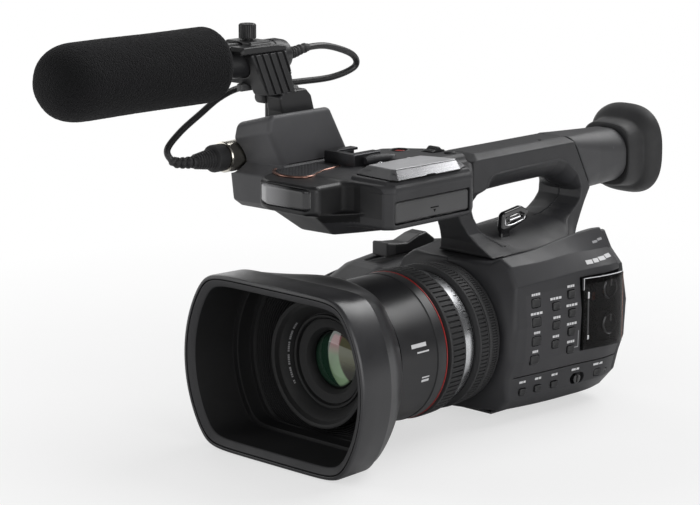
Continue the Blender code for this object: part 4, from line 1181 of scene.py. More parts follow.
# ================================================================ casing
# {y: half outline (distance from the middle, z) from the top round to the bottom}
LEFT = {
    44.0: [(0, 46), (30, 46), (35.5, 49), (43, 45.2), (49, 33), (51, 8), (49.5, -13),
           (46, -24), (44, -37.5), (36.5, -45), (0, -47.6)],
    58.0: [(0, 47), (30.9, 46.8), (36.2, 50), (44, 45.4), (50, 33.6), (51.8, 8), (50.3, -13),
           (46.6, -24), (44.8, -38), (37.5, -45.5), (0, -48)],
    85.0: [(0, 47), (30.9, 47.5), (37, 51), (45.5, 45), (51.8, 34.5), (53.9, 10), (52.9, -14),
           (49.2, -24), (47.8, -38), (41, -46), (0, -48.7)],
    111.0: [(0, 47), (30.9, 48), (38.5, 55), (46.5, 46), (53.7, 35.8), (56.2, 12),
            (55.2, -14), (51.7, -23), (49.8, -37), (43, -46), (0, -48.7)],
    140.0: [(0, 47), (30.9, 48), (40, 58), (47, 45), (56, 36), (60, 12), (58.5, -12),
            (54.5, -22.5), (51.5, -36), (43, -45.5), (0, -48.7)],
    150.6: [(0, 47), (30.9, 48), (38.4, 57), (45.2, 44.5), (54.2, 35.2), (58.2, 12),
            (56.7, -12), (52.7, -23), (49.2, -36), (41, -45), (0, -48.7)]}
RIGHT = {
    44.0: [(0, 46), (30, 46), (34, 44), (43, 38), (46, 28), (47, 8), (47, -13), (46, -24),
           (44, -37.5), (36.5, -45), (0, -47.6)],
    60.0: [(0, 47), (30.9, 46.6), (34, 45.6), (42, 40), (46, 28), (47, 8), (47, -13),
           (46, -24), (44.5, -38), (37.5, -45.5), (0, -48)],
    110.0: [(0, 47), (30.9, 48), (36, 52), (44, 45), (48, 33), (49, 10), (49, -14),
            (48, -24), (46, -38), (39, -46), (0, -48.7)],
    150.6: [(0, 47), (30.9, 48), (37, 55), (43, 45), (47, 34), (48, 12), (48, -12),
            (47, -23), (45, -36), (38, -45), (0, -48.7)]}
KEY_TURN = radians(-5.0)
LOW_TILT = radians(7.0)
LOW_TURN = (0, LOW_TILT, KEY_TURN)
# name, centre, (width, height), length of the printed mark above
KEYS = [
    ("1a", (51.3, 72.4, 22.0), (7.2, 5.4), 5.6), ("1b", (52.0, 72.4, 10.3), (7.2, 5.4), 7.6),
    ("1c", (51.8, 72.8, -1.7), (7.2, 5.4), 4.0), ("1d", (51.1, 72.2, -13.6), (7.2, 5.4), 3.6),
    ("2a", (53.4, 89.5, 17.5), (6.0, 4.6), 7.4), ("2b", (53.7, 89.5, 5.7), (6.0, 4.6), 4.6),
    ("2c", (53.3, 89.4, -6.3), (6.0, 4.6), 4.2), ("3a", (54.3, 103.0, 23.0), (6.0, 4.6), 4.6),
    ("3b", (55.2, 103.0, 11.3), (6.0, 4.6), 7.2),
    ("3c", (54.9, 103.0, -0.4), (6.0, 4.6), 6.4),
    ("3d", (54.4, 102.8, -11.9), (6.0, 4.6), 4.8)]
LOW_KEYS = [
    ("user_button_1", (46.2, 67.2, -33.7), (5.6, 4.0)),
    ("user_button_2", (47.7, 79.8, -33.6), (5.6, 4.0)),
    ("user_button_3", (49.0, 94.0, -33.5), (5.6, 4.0)),
    ("quick_button", (51.9, 132.0, -32.2), (5.6, 4.4))]
MODE_SWITCH = (50.7, 114.6, -33.3)


def closed_half(table):
    """Carries each half outline past the middle to x = -6."""
    return {y: [(-6.0, points[0][1])] + [(x or -1.0, z) for x, z in points]
            + [(-6.0, points[-1][1])] for y, points in table.items()}


LEFT_CLOSED, RIGHT_CLOSED = closed_half(LEFT), closed_half(RIGHT)


def front_flare(pos):
    """Cone that the casing narrows to where it meets the iris ring."""
    x, y, z = pos
    spread = np.interp(np.arctan2(np.abs(z), np.abs(x) + 1e-6),
                       [0.0, 0.35, 0.62, 1.57], [0.85, 1.25, 2.1, 2.1])
    away = np.hypot(x, z) - 47.4 - np.maximum(y - 49.6, 0) * spread
    return away / np.sqrt(1 + spread * spread)


def casing(pos, sign, table):
    x, y, z = pos
    shape = sections(x * sign, z, y, table, 1.6)
    return soft_max(slab(shape, y, 49.4, 150.0, 1.4), front_flare(pos), 2.0)


def left_field(pos):
    x, y, z = pos
    shape = casing(pos, 1, LEFT_CLOSED)
    # pocket behind the door
    shape = cut(shape, box(pos, (49.2, 111.4, -14.5), (75, 149.1, 32.0), 0.6), 0.5)
    # recess round the low keys, rounded at its rear end
    deep, along, up = local(pos, (48.0, 77.0, -33.6), LOW_TURN)
    outline = polygon(along, up, [(-40, -4.3), (21.6, -4.3), (23.2, 3.6), (-40, 3.6)], 2.2)
    shape = cut(shape, slab(outline, deep, -0.15, 9.0), 0.5)
    # crease groove between the side panel and the lower band
    crease = -23.8 + (y - 60) * 0.004
    groove = np.hypot(z - crease, np.maximum(45.0 - x, 0)) - 0.35
    shape = cut(shape, np.maximum(groove, 58 - y))
    for keys, tilt in ((KEYS, 0.0), (LOW_KEYS, LOW_TILT)):
        for _, centre, (width, height), *_ in keys:
            deep, along, up = local(pos, centre, (0, tilt, KEY_TURN))
            outline = polygon(along, up, rectangle(width / 2 + 0.35, height / 2 + 0.35), 1.3)
            shape = cut(shape, slab(outline, deep, -3.2, 6), 0.35)
    # mode switch: a long slot in a shallow dish
    deep, along, up = local(pos, MODE_SWITCH, LOW_TURN)
    stadium = np.hypot(np.maximum(np.abs(along) - 2.6, 0), up) - 3.5
    shape = cut(shape, slab(stadium, deep, -3.2, 6), 0.5)
    shape = cut(shape, np.sqrt(along ** 2 + up ** 2 + (deep - 9.0) ** 2) - 9.9, 0.5)
    # hole of the status lamp
    deep, along, up = local(pos, (52.6, 141.0, -32.3), LOW_TURN)
    shape = cut(shape, slab(np.hypot(along, up) - 1.25, deep, -2.0, 5), 0.3)
    # split line to the other half
    return np.maximum(shape, 0.12 - x)


def left_slots(centres, normals):
    side = within(centres, (44, 63.6, -23.4), (999, 999, 27.5)) & (normals[:, 0] > 0.55)
    # painted shade: the pocket behind the door gets the near-black material
    pocket = within(centres, (48.5, 111.8, -14.2), (58.0, 148.8, 31.7))
    return np.where(pocket, 2, np.where(side, 1, 0))


solid("casing_left", left_field, (0, 47, -50), (62, 151.5, 62), 0.62,
      ["body_skin", "panel_skin", "gap_dark"], node="left_shell", slot=left_slots)

# {y: (centre x, centre z, half width, half height, corner radius)}
GRIP = {
    13.0: (-71, -3, 3, 5, 2), 15.0: (-71, -3, 10, 13, 6), 19.0: (-71, -3, 15, 20, 9),
    27.0: (-71, -3, 19.5, 26.5, 12), 50.0: (-69.5, -3, 25, 34.5, 15),
    80.0: (-69, -2.5, 26.5, 37, 16), 125.0: (-68.5, -3, 26, 38, 16),
    150.0: (-67, -3, 22.5, 35.5, 14)}


def rounded_section(across, up, half_width, half_height, corner):
    """Rounded rectangle about 0, 0; its sizes may vary from point to point."""
    beside, above = np.abs(across) - half_width + corner, np.abs(up) - half_height + corner
    return (np.hypot(np.maximum(beside, 0), np.maximum(above, 0))
            + np.minimum(np.maximum(beside, above), 0) - corner)


def grip_field(pos):
    """Hand grip: rounded rectangles swept along y."""
    x, y, z = pos
    stations = sorted(GRIP)
    x_mid, z_mid, *sizes = [np.interp(y, stations, [GRIP[k][i] for k in stations])
                            for i in range(5)]
    shape = rounded_section(x - x_mid, z - z_mid, *sizes)
    return soft_max(shape * 0.92, np.abs(y - 82.0) - 68.0, 3.0)


def right_field(pos):
    x, y, z = pos
    grip = grip_field(pos)
    # finger channel on the outer lower side
    channel = np.sqrt((x + 98) ** 2 + (z + 20) ** 2) - 7.0
    shape = soft_min(casing(pos, -1, RIGHT_CLOSED), cut(grip, channel, 5.0), 9.0)
    # rocker well, thumb well, and grooves that frame the grip pad
    shape = cut(shape, box(pos, (-77.0, 55.2, 30.8), (-61.0, 108.8, 60), 1.2), 0.8)
    shape = cut(shape, bore(np.hypot(x + 66, z - 14), y, 145.0, 152.0, 11.8, 12.6), 0.6)
    line = np.minimum(np.abs(y - 30.0), np.abs(y - 134.0)) - 0.4
    shape = cut(shape, overlap(line, np.abs(grip) - 0.55, x + 56))
    # row of slots low on the outer side
    for i in range(6):
        hole = box(pos, (-120, 116 - i * 3.4 - 0.7, -24), (-86, 116 - i * 3.4 + 0.7, -13), 0.5)
        shape = cut(shape, np.maximum(hole, -(grip + 1.4)), 0.3)
    # outline of a cover between the grip and the body
    cover = box(pos, (-49.8, 122, -36), (-40, 146, 30), 1.0)
    shape = cut(shape, np.maximum(np.abs(cover) - 0.3, x + 46))
    return np.maximum(shape, x + 0.12)


solid("casing_right", right_field, (-96.5, 12, -50), (0, 151.5, 60), 0.8,
      ["body_skin", "grip_skin"], node="right_shell",
      slot=lambda c, n: np.where(within(c, (-999, 30.2, -999), (-60, 133.8, 30)), 1, 0))


# --------------------------------------------------------------- base, rear, battery
def base_field(pos):
    x, y, z = pos
    shape = box(pos, (-26, 62, -51), (26, 142, -49.0), 0.7)
    for y_hole, radius in ((102, 3.2), (122, 2.4)):
        shape = cut(shape, bore(np.hypot(x, y - y_hole), z, -52, -49.6, radius))
    for k in (-18, 18):
        shape = cut(shape, box(pos, (k - 1.0, 68, -52), (k + 1.0, 136, -50.5), 0.3))
    return shape


solid("tripod_plate", base_field, (-27, 61, -52), (27, 143, -48), 0.6, "shoe_black",
      node="base_plate")


def rear_half(table, sign):
    """Rear outline of a casing half, drawn in a little."""
    return [(sign * x * 0.975, z * 0.97) for x, z in table[150.6][1:-1]]


REAR = [(0, 46.5)] + rear_half(LEFT, 1) + [(0, -47.5)] + rear_half(RIGHT, -1)[::-1]


def rear_field(pos):
    x, y, z = pos
    shape = slab(polygon(x, z, REAR, 2.0), y, 150.3, 156.0, 1.8)
    # seat of the card door
    shape = cut(shape, box(pos, (25.2, 152.4, -30.9), (43.3, 160, 28.9), 0.8), 0.4)
    # round sockets on the grip side, a slot below them and a row of slots above
    for z_mid in (26, 14):
        hole = np.hypot(x + 39.5, z - z_mid) - 3.6
        shape = cut(shape, slab(hole, y, 153.6, 160))
        shape = soft_min(shape, slab(np.abs(hole - 0.8) - 0.6, y, 152, 156.0, 0.3), 0.3)
    shape = cut(shape, box(pos, (-44.2, 154.0, -12), (-35.5, 160, 2), 0.6))
    for i in range(7):
        low, high = (-20 + i * 6.0, 154.6, 31), (-17.6 + i * 6.0, 160, 40)
        shape = cut(shape, box(pos, low, high, 0.5))
    # seat of the battery
    return cut(shape, box(pos, (-36, 155.2, -42), (23, 160, 28), 1.0))


solid("casing_rear", rear_field, (-50, 149.5, -49), (60, 157, 58), 0.7, "body_skin",
      node="rear_cover")


def battery_field(pos):
    shape = box(pos, (-34, 156.3, -40), (21, 176, 26), 3.2)
    shape = cut(shape, np.abs(box(pos, (-50, 163.0, -60), (50, 200, 60))) - 0.3)
    for i in range(5):
        low, high = (-20, 175.3, 10 + i * 2.4), (7, 180, 11.2 + i * 2.4)
        shape = cut(shape, box(pos, low, high, 0.4), 0.4)
    return cut(shape, box(pos, (-28, 175.45, -34), (15, 180, 3), 1.0), 0.4)


solid("battery_pack_case", battery_field, (-35, 155.5, -41), (22, 177, 27), 0.8,
      "battery_skin", "battery_pack", "battery")
for i in range(4):
    bar("battery_level_%d" % i, (-22 + i * 4.0, 175.2, -30.5), (-19.6 + i * 4.0, 175.75, -29.3),
        "label_white", "battery_pack", edge=0.12)


def card_field(pos):
    shape = box(pos, (25.7, 153.0, -30.3), (42.8, 157.0, 28.3), 1.1)
    shape = cut(shape, box(pos, (28.2, 156.4, 18.6), (34.5, 160, 25.8), 0.8), 0.5)
    for z in (-6.0, 12.0):
        shape = cut(shape, box(pos, (29.5, 156.65, z - 0.4), (39.5, 160, z + 0.4), 0.2))
    return shape


solid("card_cover_door", card_field, (25, 152.5, -31), (43.5, 157.6, 29), 0.6, "panel_skin",
      "card_cover", "card_door")


# --------------------------------------------------------------- keys
def key_cap(name, centre, size, angles, body, node, depth=3.0, crown=0.25, proud=0.9):
    """Key with a softly dished top: rounded-rectangle rings, x outwards."""
    count = 40
    power = 7.0
    width, height = size
    turn = (np.arange(count) + 0.5) * tau / count
    across, up = np.cos(turn), np.sin(turn)
    round_off = (np.abs(across) ** power + np.abs(up) ** power) ** (-1 / power)
    # x, share of the width, share of the height
    rows = [(-depth + proud, 0.96, 0.96), (proud - 0.55, 0.97, 0.97), (proud - 0.2, 0.95, 0.94),
            (proud, 0.86, 0.83), (proud - 0.02, 0.78, 0.72), (proud - crown * 0.7, 0.5, 0.45),
            (proud - crown, 0.2, 0.2)]
    rings = [np.stack([np.full(count, x), width / 2 * wide * across * round_off,
                       height / 2 * high * up * round_off], -1) for x, wide, high in rows]
    verts = turn_points(np.concatenate(rings), centre, angles)
    faces = capped_faces(len(rows), count)
    slots = [1] * count + [0] * (len(faces) - count)
    loft(name, verts, faces, ["key_skin", "key_side"], body, node, 50, slots)


def label(name, centre, width, height, angles, mat="label_white", body=BODY, back=-0.35,
          front=0.12):
    """Flat printed mark, a hair proud of the panel."""
    corners = [(x, y, z) for x in (back, front) for y, z in rectangle(width / 2, height / 2)]
    loft(name, turn_points(np.array(corners), centre, angles), BOX_FACES, mat, body)


def surface_x(y, z, start=70.0):
    """Outer x of the left casing at (y, z), searched inwards from start."""
    x = np.linspace(start, 30, 800)
    pos = (x, np.full(800, float(y)), np.full(800, float(z)))
    return float(x[int(np.argmax(casing(pos, 1, LEFT_CLOSED) < 0))])


# Each key mark is four dashes: (start, length) as shares of the mark.
MARK_DASHES = ((0, 0.22), (0.27, 0.16), (0.49, 0.22), (0.77, 0.23))
for name, centre, size, mark in KEYS:
    key_cap("key_cap_" + name, centre, size, (0, 0, KEY_TURN), "key_" + name, "button_" + name)
    mark *= 1.3
    z = centre[2] + size[1] / 2 + 2.6
    tilt = radians(-3 if centre[2] > 8 else 2)
    for i, (start, share) in enumerate(MARK_DASHES):
        dash = mark * share
        y = centre[1] + (-mark / 2 + mark * start) + dash / 2
        label("key_mark_%s_%d" % (name, i), (surface_x(y, z), y, z), dash, 1.5,
              (0, tilt, KEY_TURN))
for name, centre, size in LOW_KEYS:
    key_cap("key_cap_" + name, centre, size, LOW_TURN, "key_" + name, name)

# y, z, length of the two-dash marks over the low keys
LOW_MARKS = [(66.5, -27.4, 5.2), (79.6, -27.2, 5.2), (93.8, -27.2, 5.2), (112.2, -27.0, 6.6),
             (131.6, -26.6, 8.4)]
for i, (y_mid, z, length) in enumerate(LOW_MARKS):
    for j, (start, share) in enumerate([(-0.5, 0.55), (0.14, 0.36)]):
        y = y_mid + start * length + share * length / 2
        label("low_mark_%d_%d" % (i, j), (surface_x(y, z), y, z), length * share, 1.4, LOW_TURN)


def mode_knob():
    axis = rotation((0, radians(90) + LOW_TILT, KEY_TURN)).T
    centre = (MODE_SWITCH[0] - 2.6, *MODE_SWITCH[1:])
    profile = round_profile([(0, 0.0), (3.0, 0.0), (3.0, 2.9), (2.4, 3.1), (0, 3.1)],
                            [0, 0.1, 0.3, 0.2, 0])
    lathe("mode_slider_cap", profile, "gloss_black", "mode_slider", "mode_switch", centre,
          axis, seg=64, closed=False)
    label("mode_slider_tick", np.array(centre) + axis[2] * 3.15, 0.76, 4.6, LOW_TURN,
          "key_side", "mode_slider", back=-0.1, front=0.35)


mode_knob()
# first y, last y, z, height, material of the marks above the door
UPPER_MARKS = [
    (120.0, 125.6, 39.7, 2.9, "label_white"), (126.5, 131.0, 39.9, 2.9, "label_white"),
    (131.9, 138.2, 40.2, 2.9, "label_white"), (139.1, 145.6, 40.6, 2.9, "label_white"),
    (134.2, 139.4, 49.4, 1.6, "label_grey"), (140.2, 145.8, 50.0, 1.6, "label_grey")]
for i, (first, last, z, height, mat) in enumerate(UPPER_MARKS):
    y = (first + last) / 2
    tilt = math.atan2(surface_x(y, z - 1, 60.0) - surface_x(y, z + 1, 60.0), 2.0)
    turn = math.atan2(surface_x(y + 1.5, z, 60.0) - surface_x(y - 1.5, z, 60.0), 3.0)
    label("plain_mark_%d" % i, (surface_x(y, z, 60.0), y, z), last - first, height,
          (0, -tilt, -turn), mat)
for i, (y, z, width, height) in enumerate([(109.3, -6.2, 0.5, 10.6), (107.6, -11.2, 3.2, 0.5)]):
    label("pair_mark_%d" % i, (surface_x(y, z), y, z), width, height,
          (0, radians(2), KEY_TURN), "label_grey")
lathe("status_led", [(0, 51.2), (1.0, 51.2), (1.0, 52.0), (0.6, 52.35), (0, 52.45)],
      "gloss_black", centre=(0, 141.0, -32.3), axis=ALONG_X, seg=32, closed=False)

# --------------------------------------------------------------- sound door and knobs
DOOR_Y, DOOR_X = zip((112.6, 56.6), (122, 58.9), (131, 60.4), (140, 60.9), (145, 60.3),
                     (148.6, 58.9))
DOOR_Z = (-14.0, 31.5)


def door_curve():
    """Smoothed (y, x) run of the door's bowed surface."""
    y = np.linspace(DOOR_Y[0], DOOR_Y[-1], 61)
    x = np.interp(y, DOOR_Y, DOOR_X)
    kernel = np.array([1, 2, 3, 4, 5, 4, 3, 2, 1], float)
    padded = np.concatenate([x[0] - np.arange(4, 0, -1) * 0.148, x,
                             x[-1] - np.arange(1, 5) * 0.233])
    return y, np.convolve(padded, kernel / kernel.sum(), "valid")


CURVE_Y, CURVE_X = door_curve()


def door_panel(name, y_span, z_span, depth, mat, node=None, edge=0.35):
    """Strip that follows the door's bow; depth is (back, front) from its surface."""
    (y_min, y_max), (z_min, z_max) = y_span, z_span
    inner = [y for y in CURVE_Y if y_min + edge < y < y_max - edge]
    rows = []
    for y in [y_min, y_min + edge * 0.3, y_min + edge] + inner + [
            y_max - edge, y_max - edge * 0.3, y_max]:
        x = float(np.interp(y, CURVE_Y, CURVE_X))
        share = min(1.0, min(y - y_min, y_max - y) / edge)
        back = x + depth[0]
        front = x + depth[1] - edge * (1 - math.sqrt(1 - (1 - share) ** 2))
        rows.append(
            [(back, y, z_min), (front - edge * 0.6, y, z_min),
             (front - 0.15, y, z_min + edge * 0.4)]
            + [(front, y, z) for z in np.linspace(z_min + edge, z_max - edge, 8)]
            + [(front - 0.15, y, z_max - edge * 0.4), (front - edge * 0.6, y, z_max),
               (back, y, z_max)])
    verts = np.array(rows).reshape(-1, 3)
    loft(name, verts, capped_faces(len(rows), len(rows[0])), mat, "door", node)


door_panel("door_glass", (DOOR_Y[0], DOOR_Y[-1]), DOOR_Z, (-1.9, 0.0), "smoked_glass",
           "audio_door")
Z_MIN, Z_MAX = DOOR_Z
# name, y span, z span, depth, material, edge
for part, y_span, z_span, depth, mat, edge in (
        ("rim_front", (112.45, 112.95), (Z_MAX - 7.5, Z_MAX + 0.1), (-1.2, 0.14),
         "chrome_line", 0.12),
        # painted shade: the lower part of the door's front edge is near-black
        ("rim_front_low", (112.45, 112.95), (Z_MIN - 0.1, Z_MAX - 7.6), (-1.2, 0.1),
         "gap_dark", 0.12),
        ("rim_top", (113.0, 147.5), (Z_MAX - 0.35, Z_MAX + 0.2), (-1.2, 0.14),
         "chrome_line", 0.12),
        ("rim_rear", (148.05, 148.75), (Z_MIN + 2, Z_MAX - 1), (-1.2, 0.1),
         "trim_copper", 0.12),
        ("hinge_bar", (115.7, 116.5), (-5.0, 18.4), (-0.3, 0.3), "grey_panel", 0.2),
        ("hinge_top", (115.5, 116.7), (18.4, 22.6), (-0.3, 0.4), "chrome_line", 0.2),
        ("hinge_end", (115.5, 116.7), (-7.6, -5.0), (-0.3, 0.4), "chrome_line", 0.2)):
    door_panel("door_" + part, y_span, z_span, depth, mat, edge=edge)

LEVEL_KNOB = [(0, 0.9), (6.7, 0.9), (6.95, 1.2), (6.95, 5.2), (6.9, 5.6), (6.6, 6.2),
              (6.2, 6.9), (5.6, 7.35), (4.7, 7.5), (4.2, 7.2), (0, 7.1)]
KNOB_X = 48.9
for i, z in ((1, 21.0), (2, -1.5)):
    body = "level_knob_%d" % i
    centre = (KNOB_X, 140.2, z)
    lathe("level_knob_cap_%d" % i, LEVEL_KNOB, "key_skin", body, "audio_knob_%d" % i, centre,
          ALONG_X, seg=240, wave=ribs(30, 0.28, 0.55, 0.3, (2, 3)), closed=False, sharp=30)
    lathe("level_knob_rim_%d" % i, [(5.7, 6.85), (6.2, 6.4), (7.0, 5.9), (7.1, 6.9), (6.1, 7.5)],
          "chrome_line", body, centre=centre, axis=ALONG_X)
    bar("level_knob_tick_%d" % i, (KNOB_X + 6.9, 139.6, z + 1.4),
        (KNOB_X + 7.7, 140.8, z + 5.8), "label_white", body, edge=0.15)

# painted shade: near-black plate on the floor of the pocket
bar("audio_floor_plate", (49.3, 112.5, -13.6), (50.0, 148.4, 31.2), "gap_dark", edge=0.2)
for i, z in enumerate((22.0, 12.0, 2.0, -7.0)):
    y = 121.5
    bar("audio_toggle_base_%d" % i, (49.9, y - 3.2, z - 1.5), (51.2, y + 3.2, z + 1.5),
        "key_side", edge=0.5)
    bar("audio_toggle_%d" % i, (51.0, y - 1.0, z - 1.1), (53.2, y + 1.4, z + 1.1), "key_skin")
bar("audio_lamp", (49.95, 129.0, 14.0), (50.6, 131.4, 19.0), "led_amber", edge=0.2)

# --------------------------------------------------------------- strap lug
LUG = [(78.5, 60.6), (78.1, 72.0), (95.9, 74.6), (103.1, 71.0), (102.7, 65.0), (88.5, 60.2)]
LUG_FOOT = [(79.2, 52), (79.6, 63), (86.5, 63.4), (88.5, 53)]


def lug_field(pos):
    x, y, z = pos
    depth = x - (16.4 + (z - 62) * 0.10)
    inner = polygon(y, z, LUG, 3.0)
    shape = slab(polygon(y, z, LUG, 3.4), depth, -2.0, 2.0, 1.1)
    shape = cut(shape, slab(inner + 4.0, depth, -9, 9), 0.9)
    foot = slab(polygon(y, z, LUG_FOOT, 1.5), x, 14.9, 17.6, 1.0)
    return soft_min(shape, cut(foot, inner + 3.6), 2.5)


solid("lug_frame", lug_field, (11, 76, 52), (23, 105, 77), 0.38, "gloss_black",
      node="strap_lug")
# (y, z), stretched about a point below
LUG_RING = [(79.6, 66.2), (79.4, 69.6), (81.0, 70.4), (91.6, 71.6), (94.8, 70.0), (94.9, 67.2),
            (93.0, 66.4), (86.0, 65.2), (80.6, 65.2)]
LUG_RING = [(18.4, 90.6 + (y - 87.1) * 1.18, 67.6 + (z - 68.2) * 1.3) for y, z in LUG_RING]
wire("lug_inner_ring", smooth_path(LUG_RING + [LUG_RING[0]], 6)[:-1], 0.6, "lug_bright",
     seg=12, closed=True)
wire("lug_inner_bar", [(18.2, 85.9, 66.4), (18.2, 90.5, 66.9), (18.2, 95.9, 67.6)], 0.8,
     "lug_bright", seg=12)

# --------------------------------------------------------------- grip controls
ROCKER = [(-22, -3), (22, -3), (23, 3), (15, 8.5), (8, 7.5), (-3, 4), (-14, 5.0), (-22, 6.4)]


def rocker_field(pos):
    x, y, z = off = [pos[0] + 69, pos[1] - 84, pos[2] - 37.6]
    shape = slab(polygon(y, z, ROCKER, 1.2), x, -7.0, 7.0, 1.6)
    for k in range(3):
        low, high = (-4.6, -18.6 + k * 2.3, 5.2), (4.6, -17.7 + k * 2.3, 9)
        shape = cut(shape, box(off, low, high, 0.3), 0.3)
    return shape


solid("rocker_cap", rocker_field, (-77, 60, 33), (-61, 108, 47.5), 0.5,
      ["key_skin", "rocker_skin"], "grip_rocker", "zoom_rocker",
      lambda c, n: np.where((c[:, 1] < 69.5) & (n[:, 1] < 0.9), 1, 0))

THUMB_DIAL = (-66, 146.6, 14)
lathe("rec_cap",
      round_profile([(0, 0), (6.6, 0), (6.6, 4.9), (5.4, 5.6), (0, 5.2)], [0, 0.2, 0.4, 0.5, 0]),
      "red_skin", "rec_key", "rec_button", THUMB_DIAL, closed=False)
lathe("power_ring",
      round_profile([(7.2, 0.4), (11.3, 0.4), (11.4, 3.2), (10.6, 4.4), (7.2, 4.4)],
                    [0, 0.2, 0.3, 0.4, 0.2]),
      "key_skin", "power_dial", "power_switch", THUMB_DIAL, seg=216,
      wave=ribs(36, 0.35, 0.5, 0.3, range(3, 10)))
bar("power_ring_tick", (-66.4, 150.7, 22.2), (-65.6, 151.15, 24.6), "label_white",
    "power_dial", edge=0.1)

# --------------------------------------------------------------- hand strap
STRAP = [(20, -93.6), (32, -98.6), (50, -102.9), (80, -105.7), (110, -104.1), (130, -99.6),
         (142, -94.4)]      # (y, x)
STRAP_Z = -4
STRAP_SINK = 1.7            # how far the pad's middle lies outside its path
SEAM_INSET = 3.2
WEBS = (("strap_web_front", [(-93.6, 20.5), (-90.5, 17.4), (-86.6, 16.4), (-80.0, 17.2)]),
        ("strap_web_rear", [(-94.2, 141.4), (-92.0, 146.0), (-88.0, 148.6), (-82.0, 149.0)]))


def strap_size(y):
    """Half height and thickness of the pad at y."""
    t = abs(y - 80) / 62
    return 25 - 8 * t * t, 1.9 + 0.5 * (1 - t * t)


def strap_pad(path, count=44):
    """Crowned leather with a seam along both long edges."""
    verts = []
    for y, x in path:
        half, thick = strap_size(y)
        for k in range(count):
            across, up = cos(tau * k / count), sin(tau * k / count)
            z = math.copysign(abs(up) ** 0.5, up) * half
            puff = 1 - (z / half) ** 4 * 0.45
            seam = 0.55 * math.exp(-((abs(z) - (half - SEAM_INSET)) / 0.7) ** 2)
            swell = -(thick * puff - seam) if across < 0 else 0.75 * thick * puff
            verts.append((x - STRAP_SINK + swell * abs(across) ** 0.75, y, STRAP_Z + z))
    loft("strap_pad", verts, capped_faces(len(path), count), "strap_leather",
         node="hand_strap", sharp=60)


def strap_stitches(path):
    verts, faces = [], []
    for side in (1, -1):
        for i in range(4, len(path) - 4):
            for share in (0.0, 0.5):
                y, x = path[i] + (path[i + 1] - path[i]) * share
                half, thick = strap_size(y)
                z = STRAP_Z + side * (half - SEAM_INSET)
                base = x - STRAP_SINK - thick * 0.78 + 0.12
                faces += box_faces(len(verts))
                verts += [(base + lift, y + along, z + up) for lift in (0.35, -0.32)
                          for along, up in rectangle(0.75, 0.24)]
    loft("strap_stitches", verts, faces, "stitch_thread", sharp=60)


def strap_web(name, controls):
    """Webbing from the pad into the casing; controls are (x, y)."""
    path = smooth_path(controls, 8)
    verts = []
    for i, point in enumerate(path):
        run = path[min(i + 1, len(path) - 1)] - path[max(i - 1, 0)]
        side = np.array([-run[1], run[0]]) / (np.linalg.norm(run) + 1e-9) * 0.7
        near, far = point - side, point + side
        verts += [(*near, 7.0), (*far, 7.0), (*far, 0), (*far, -15.0), (*near, -15.0),
                  (*near, 0)]
    loft(name, verts, capped_faces(len(path), 6), "strap_web", sharp=60)


strap_path = smooth_path(STRAP, 12)
strap_pad(strap_path)
strap_stitches(strap_path)
for name, controls in WEBS:
    strap_web(name, controls)

# ================================================================ top handle
# (y, z) outlines of the handle and of its opening
HANDLE_OUT = [
    (53.4, 80.9), (44.3, 80.9), (46, 77), (48.8, 71.5), (53, 64.0), (57, 56), (59, 50),
    (59.4, 47.4), (152.6, 47.4), (154.4, 53), (157.6, 60), (161.6, 68), (166.8, 76.6),
    (148.3, 110.7), (61, 110.7), (53.4, 106.5)]
HANDLE_HOLE = [
    (40, 95.2), (64.5, 95.6), (96, 96.7), (134, 97.2), (142.5, 94.6), (152.7, 86.4),
    (156.6, 78), (155.8, 70), (151.2, 62), (145.5, 55), (137, 50.2), (118, 48.4),
    (84, 48.2), (40, 48.2)]
# z stations and the y where the front leg's rear face stands
LEG_REAR = ([40, 50, 56, 64.5, 73, 81, 86, 90], [78, 73.5, 69.5, 64.6, 60.4, 57.4, 58.4, 68])
# z stations and the half width of the front leg on the key side and on the grip side
LEG_Z = [47, 50, 55, 61, 70, 78, 84, 88, 120]
LEG_KEY_SIDE = [29.4, 24.5, 17.5, 12.6, 10.2, 10.6, 14.4, 17.0, 17.0]
LEG_GRIP_SIDE = [17.5, 15.0, 13.2, 11.6, 10.2, 10.6, 14.4, 17.0, 17.0]


def handle_field(pos):
    x, y, z = pos
    side = np.abs(x)
    rear = 17.0 + 12.6 * smooth01((67 - z) / 19.0) * smooth01((153 - y) / 26.0)
    front = np.where(x < 0, np.interp(z, LEG_Z, LEG_GRIP_SIDE), np.interp(z, LEG_Z, LEG_KEY_SIDE))
    width = front + (rear - front) * smooth01((y - 66) / 26.0)
    width = np.minimum(width, 30.0 - np.maximum(y - 146, 0) * 0.25)
    # the opening's floor is crowned and its roof rounded across x
    low = (12.4 * (1 - np.clip(side / 30, 0, 1) ** 2)) * smooth01((74 - z) / 16)
    high = (11.4 * (1 - np.clip(side / 17, 0, 1) ** 2.3)) * smooth01((z - 72) / 9)
    hole = polygon(y, z - low + high, HANDLE_HOLE, 5.0)
    hole = soft_max(hole, (np.interp(z, *LEG_REAR) - y) * 0.9, 7.0)
    shape = cut(polygon(y, z, HANDLE_OUT, 2.0), hole, 0.5)
    shape = slab(shape, x, -width, width, 1.2)
    # raised lip round the opening
    lip = np.hypot(hole - 0.9, side - width + 0.35) - 0.75
    shape = np.minimum(shape, np.maximum(lip, 52.5 - z))
    # bevelled top edges
    shape = soft_max(shape, ((side - 9.6) * 3.3 + (z - 110.7) * 8.4) / 9.03, 0.8)
    # parting line inside the loop
    shape = cut(shape, overlap(side - 0.28, np.abs(hole) - 0.5, 58 - z, 130 - y))
    # notch for the knuckle of the viewfinder hinge
    shape = cut(shape, box(pos, (-6.4, 145.2, 108.0), (6.4, 156, 114), 0.3))
    # seat of the small round lamp on top
    return cut(shape, np.maximum(np.hypot(x - 7.6, y - 126) - 1.5, 109.7 - z))


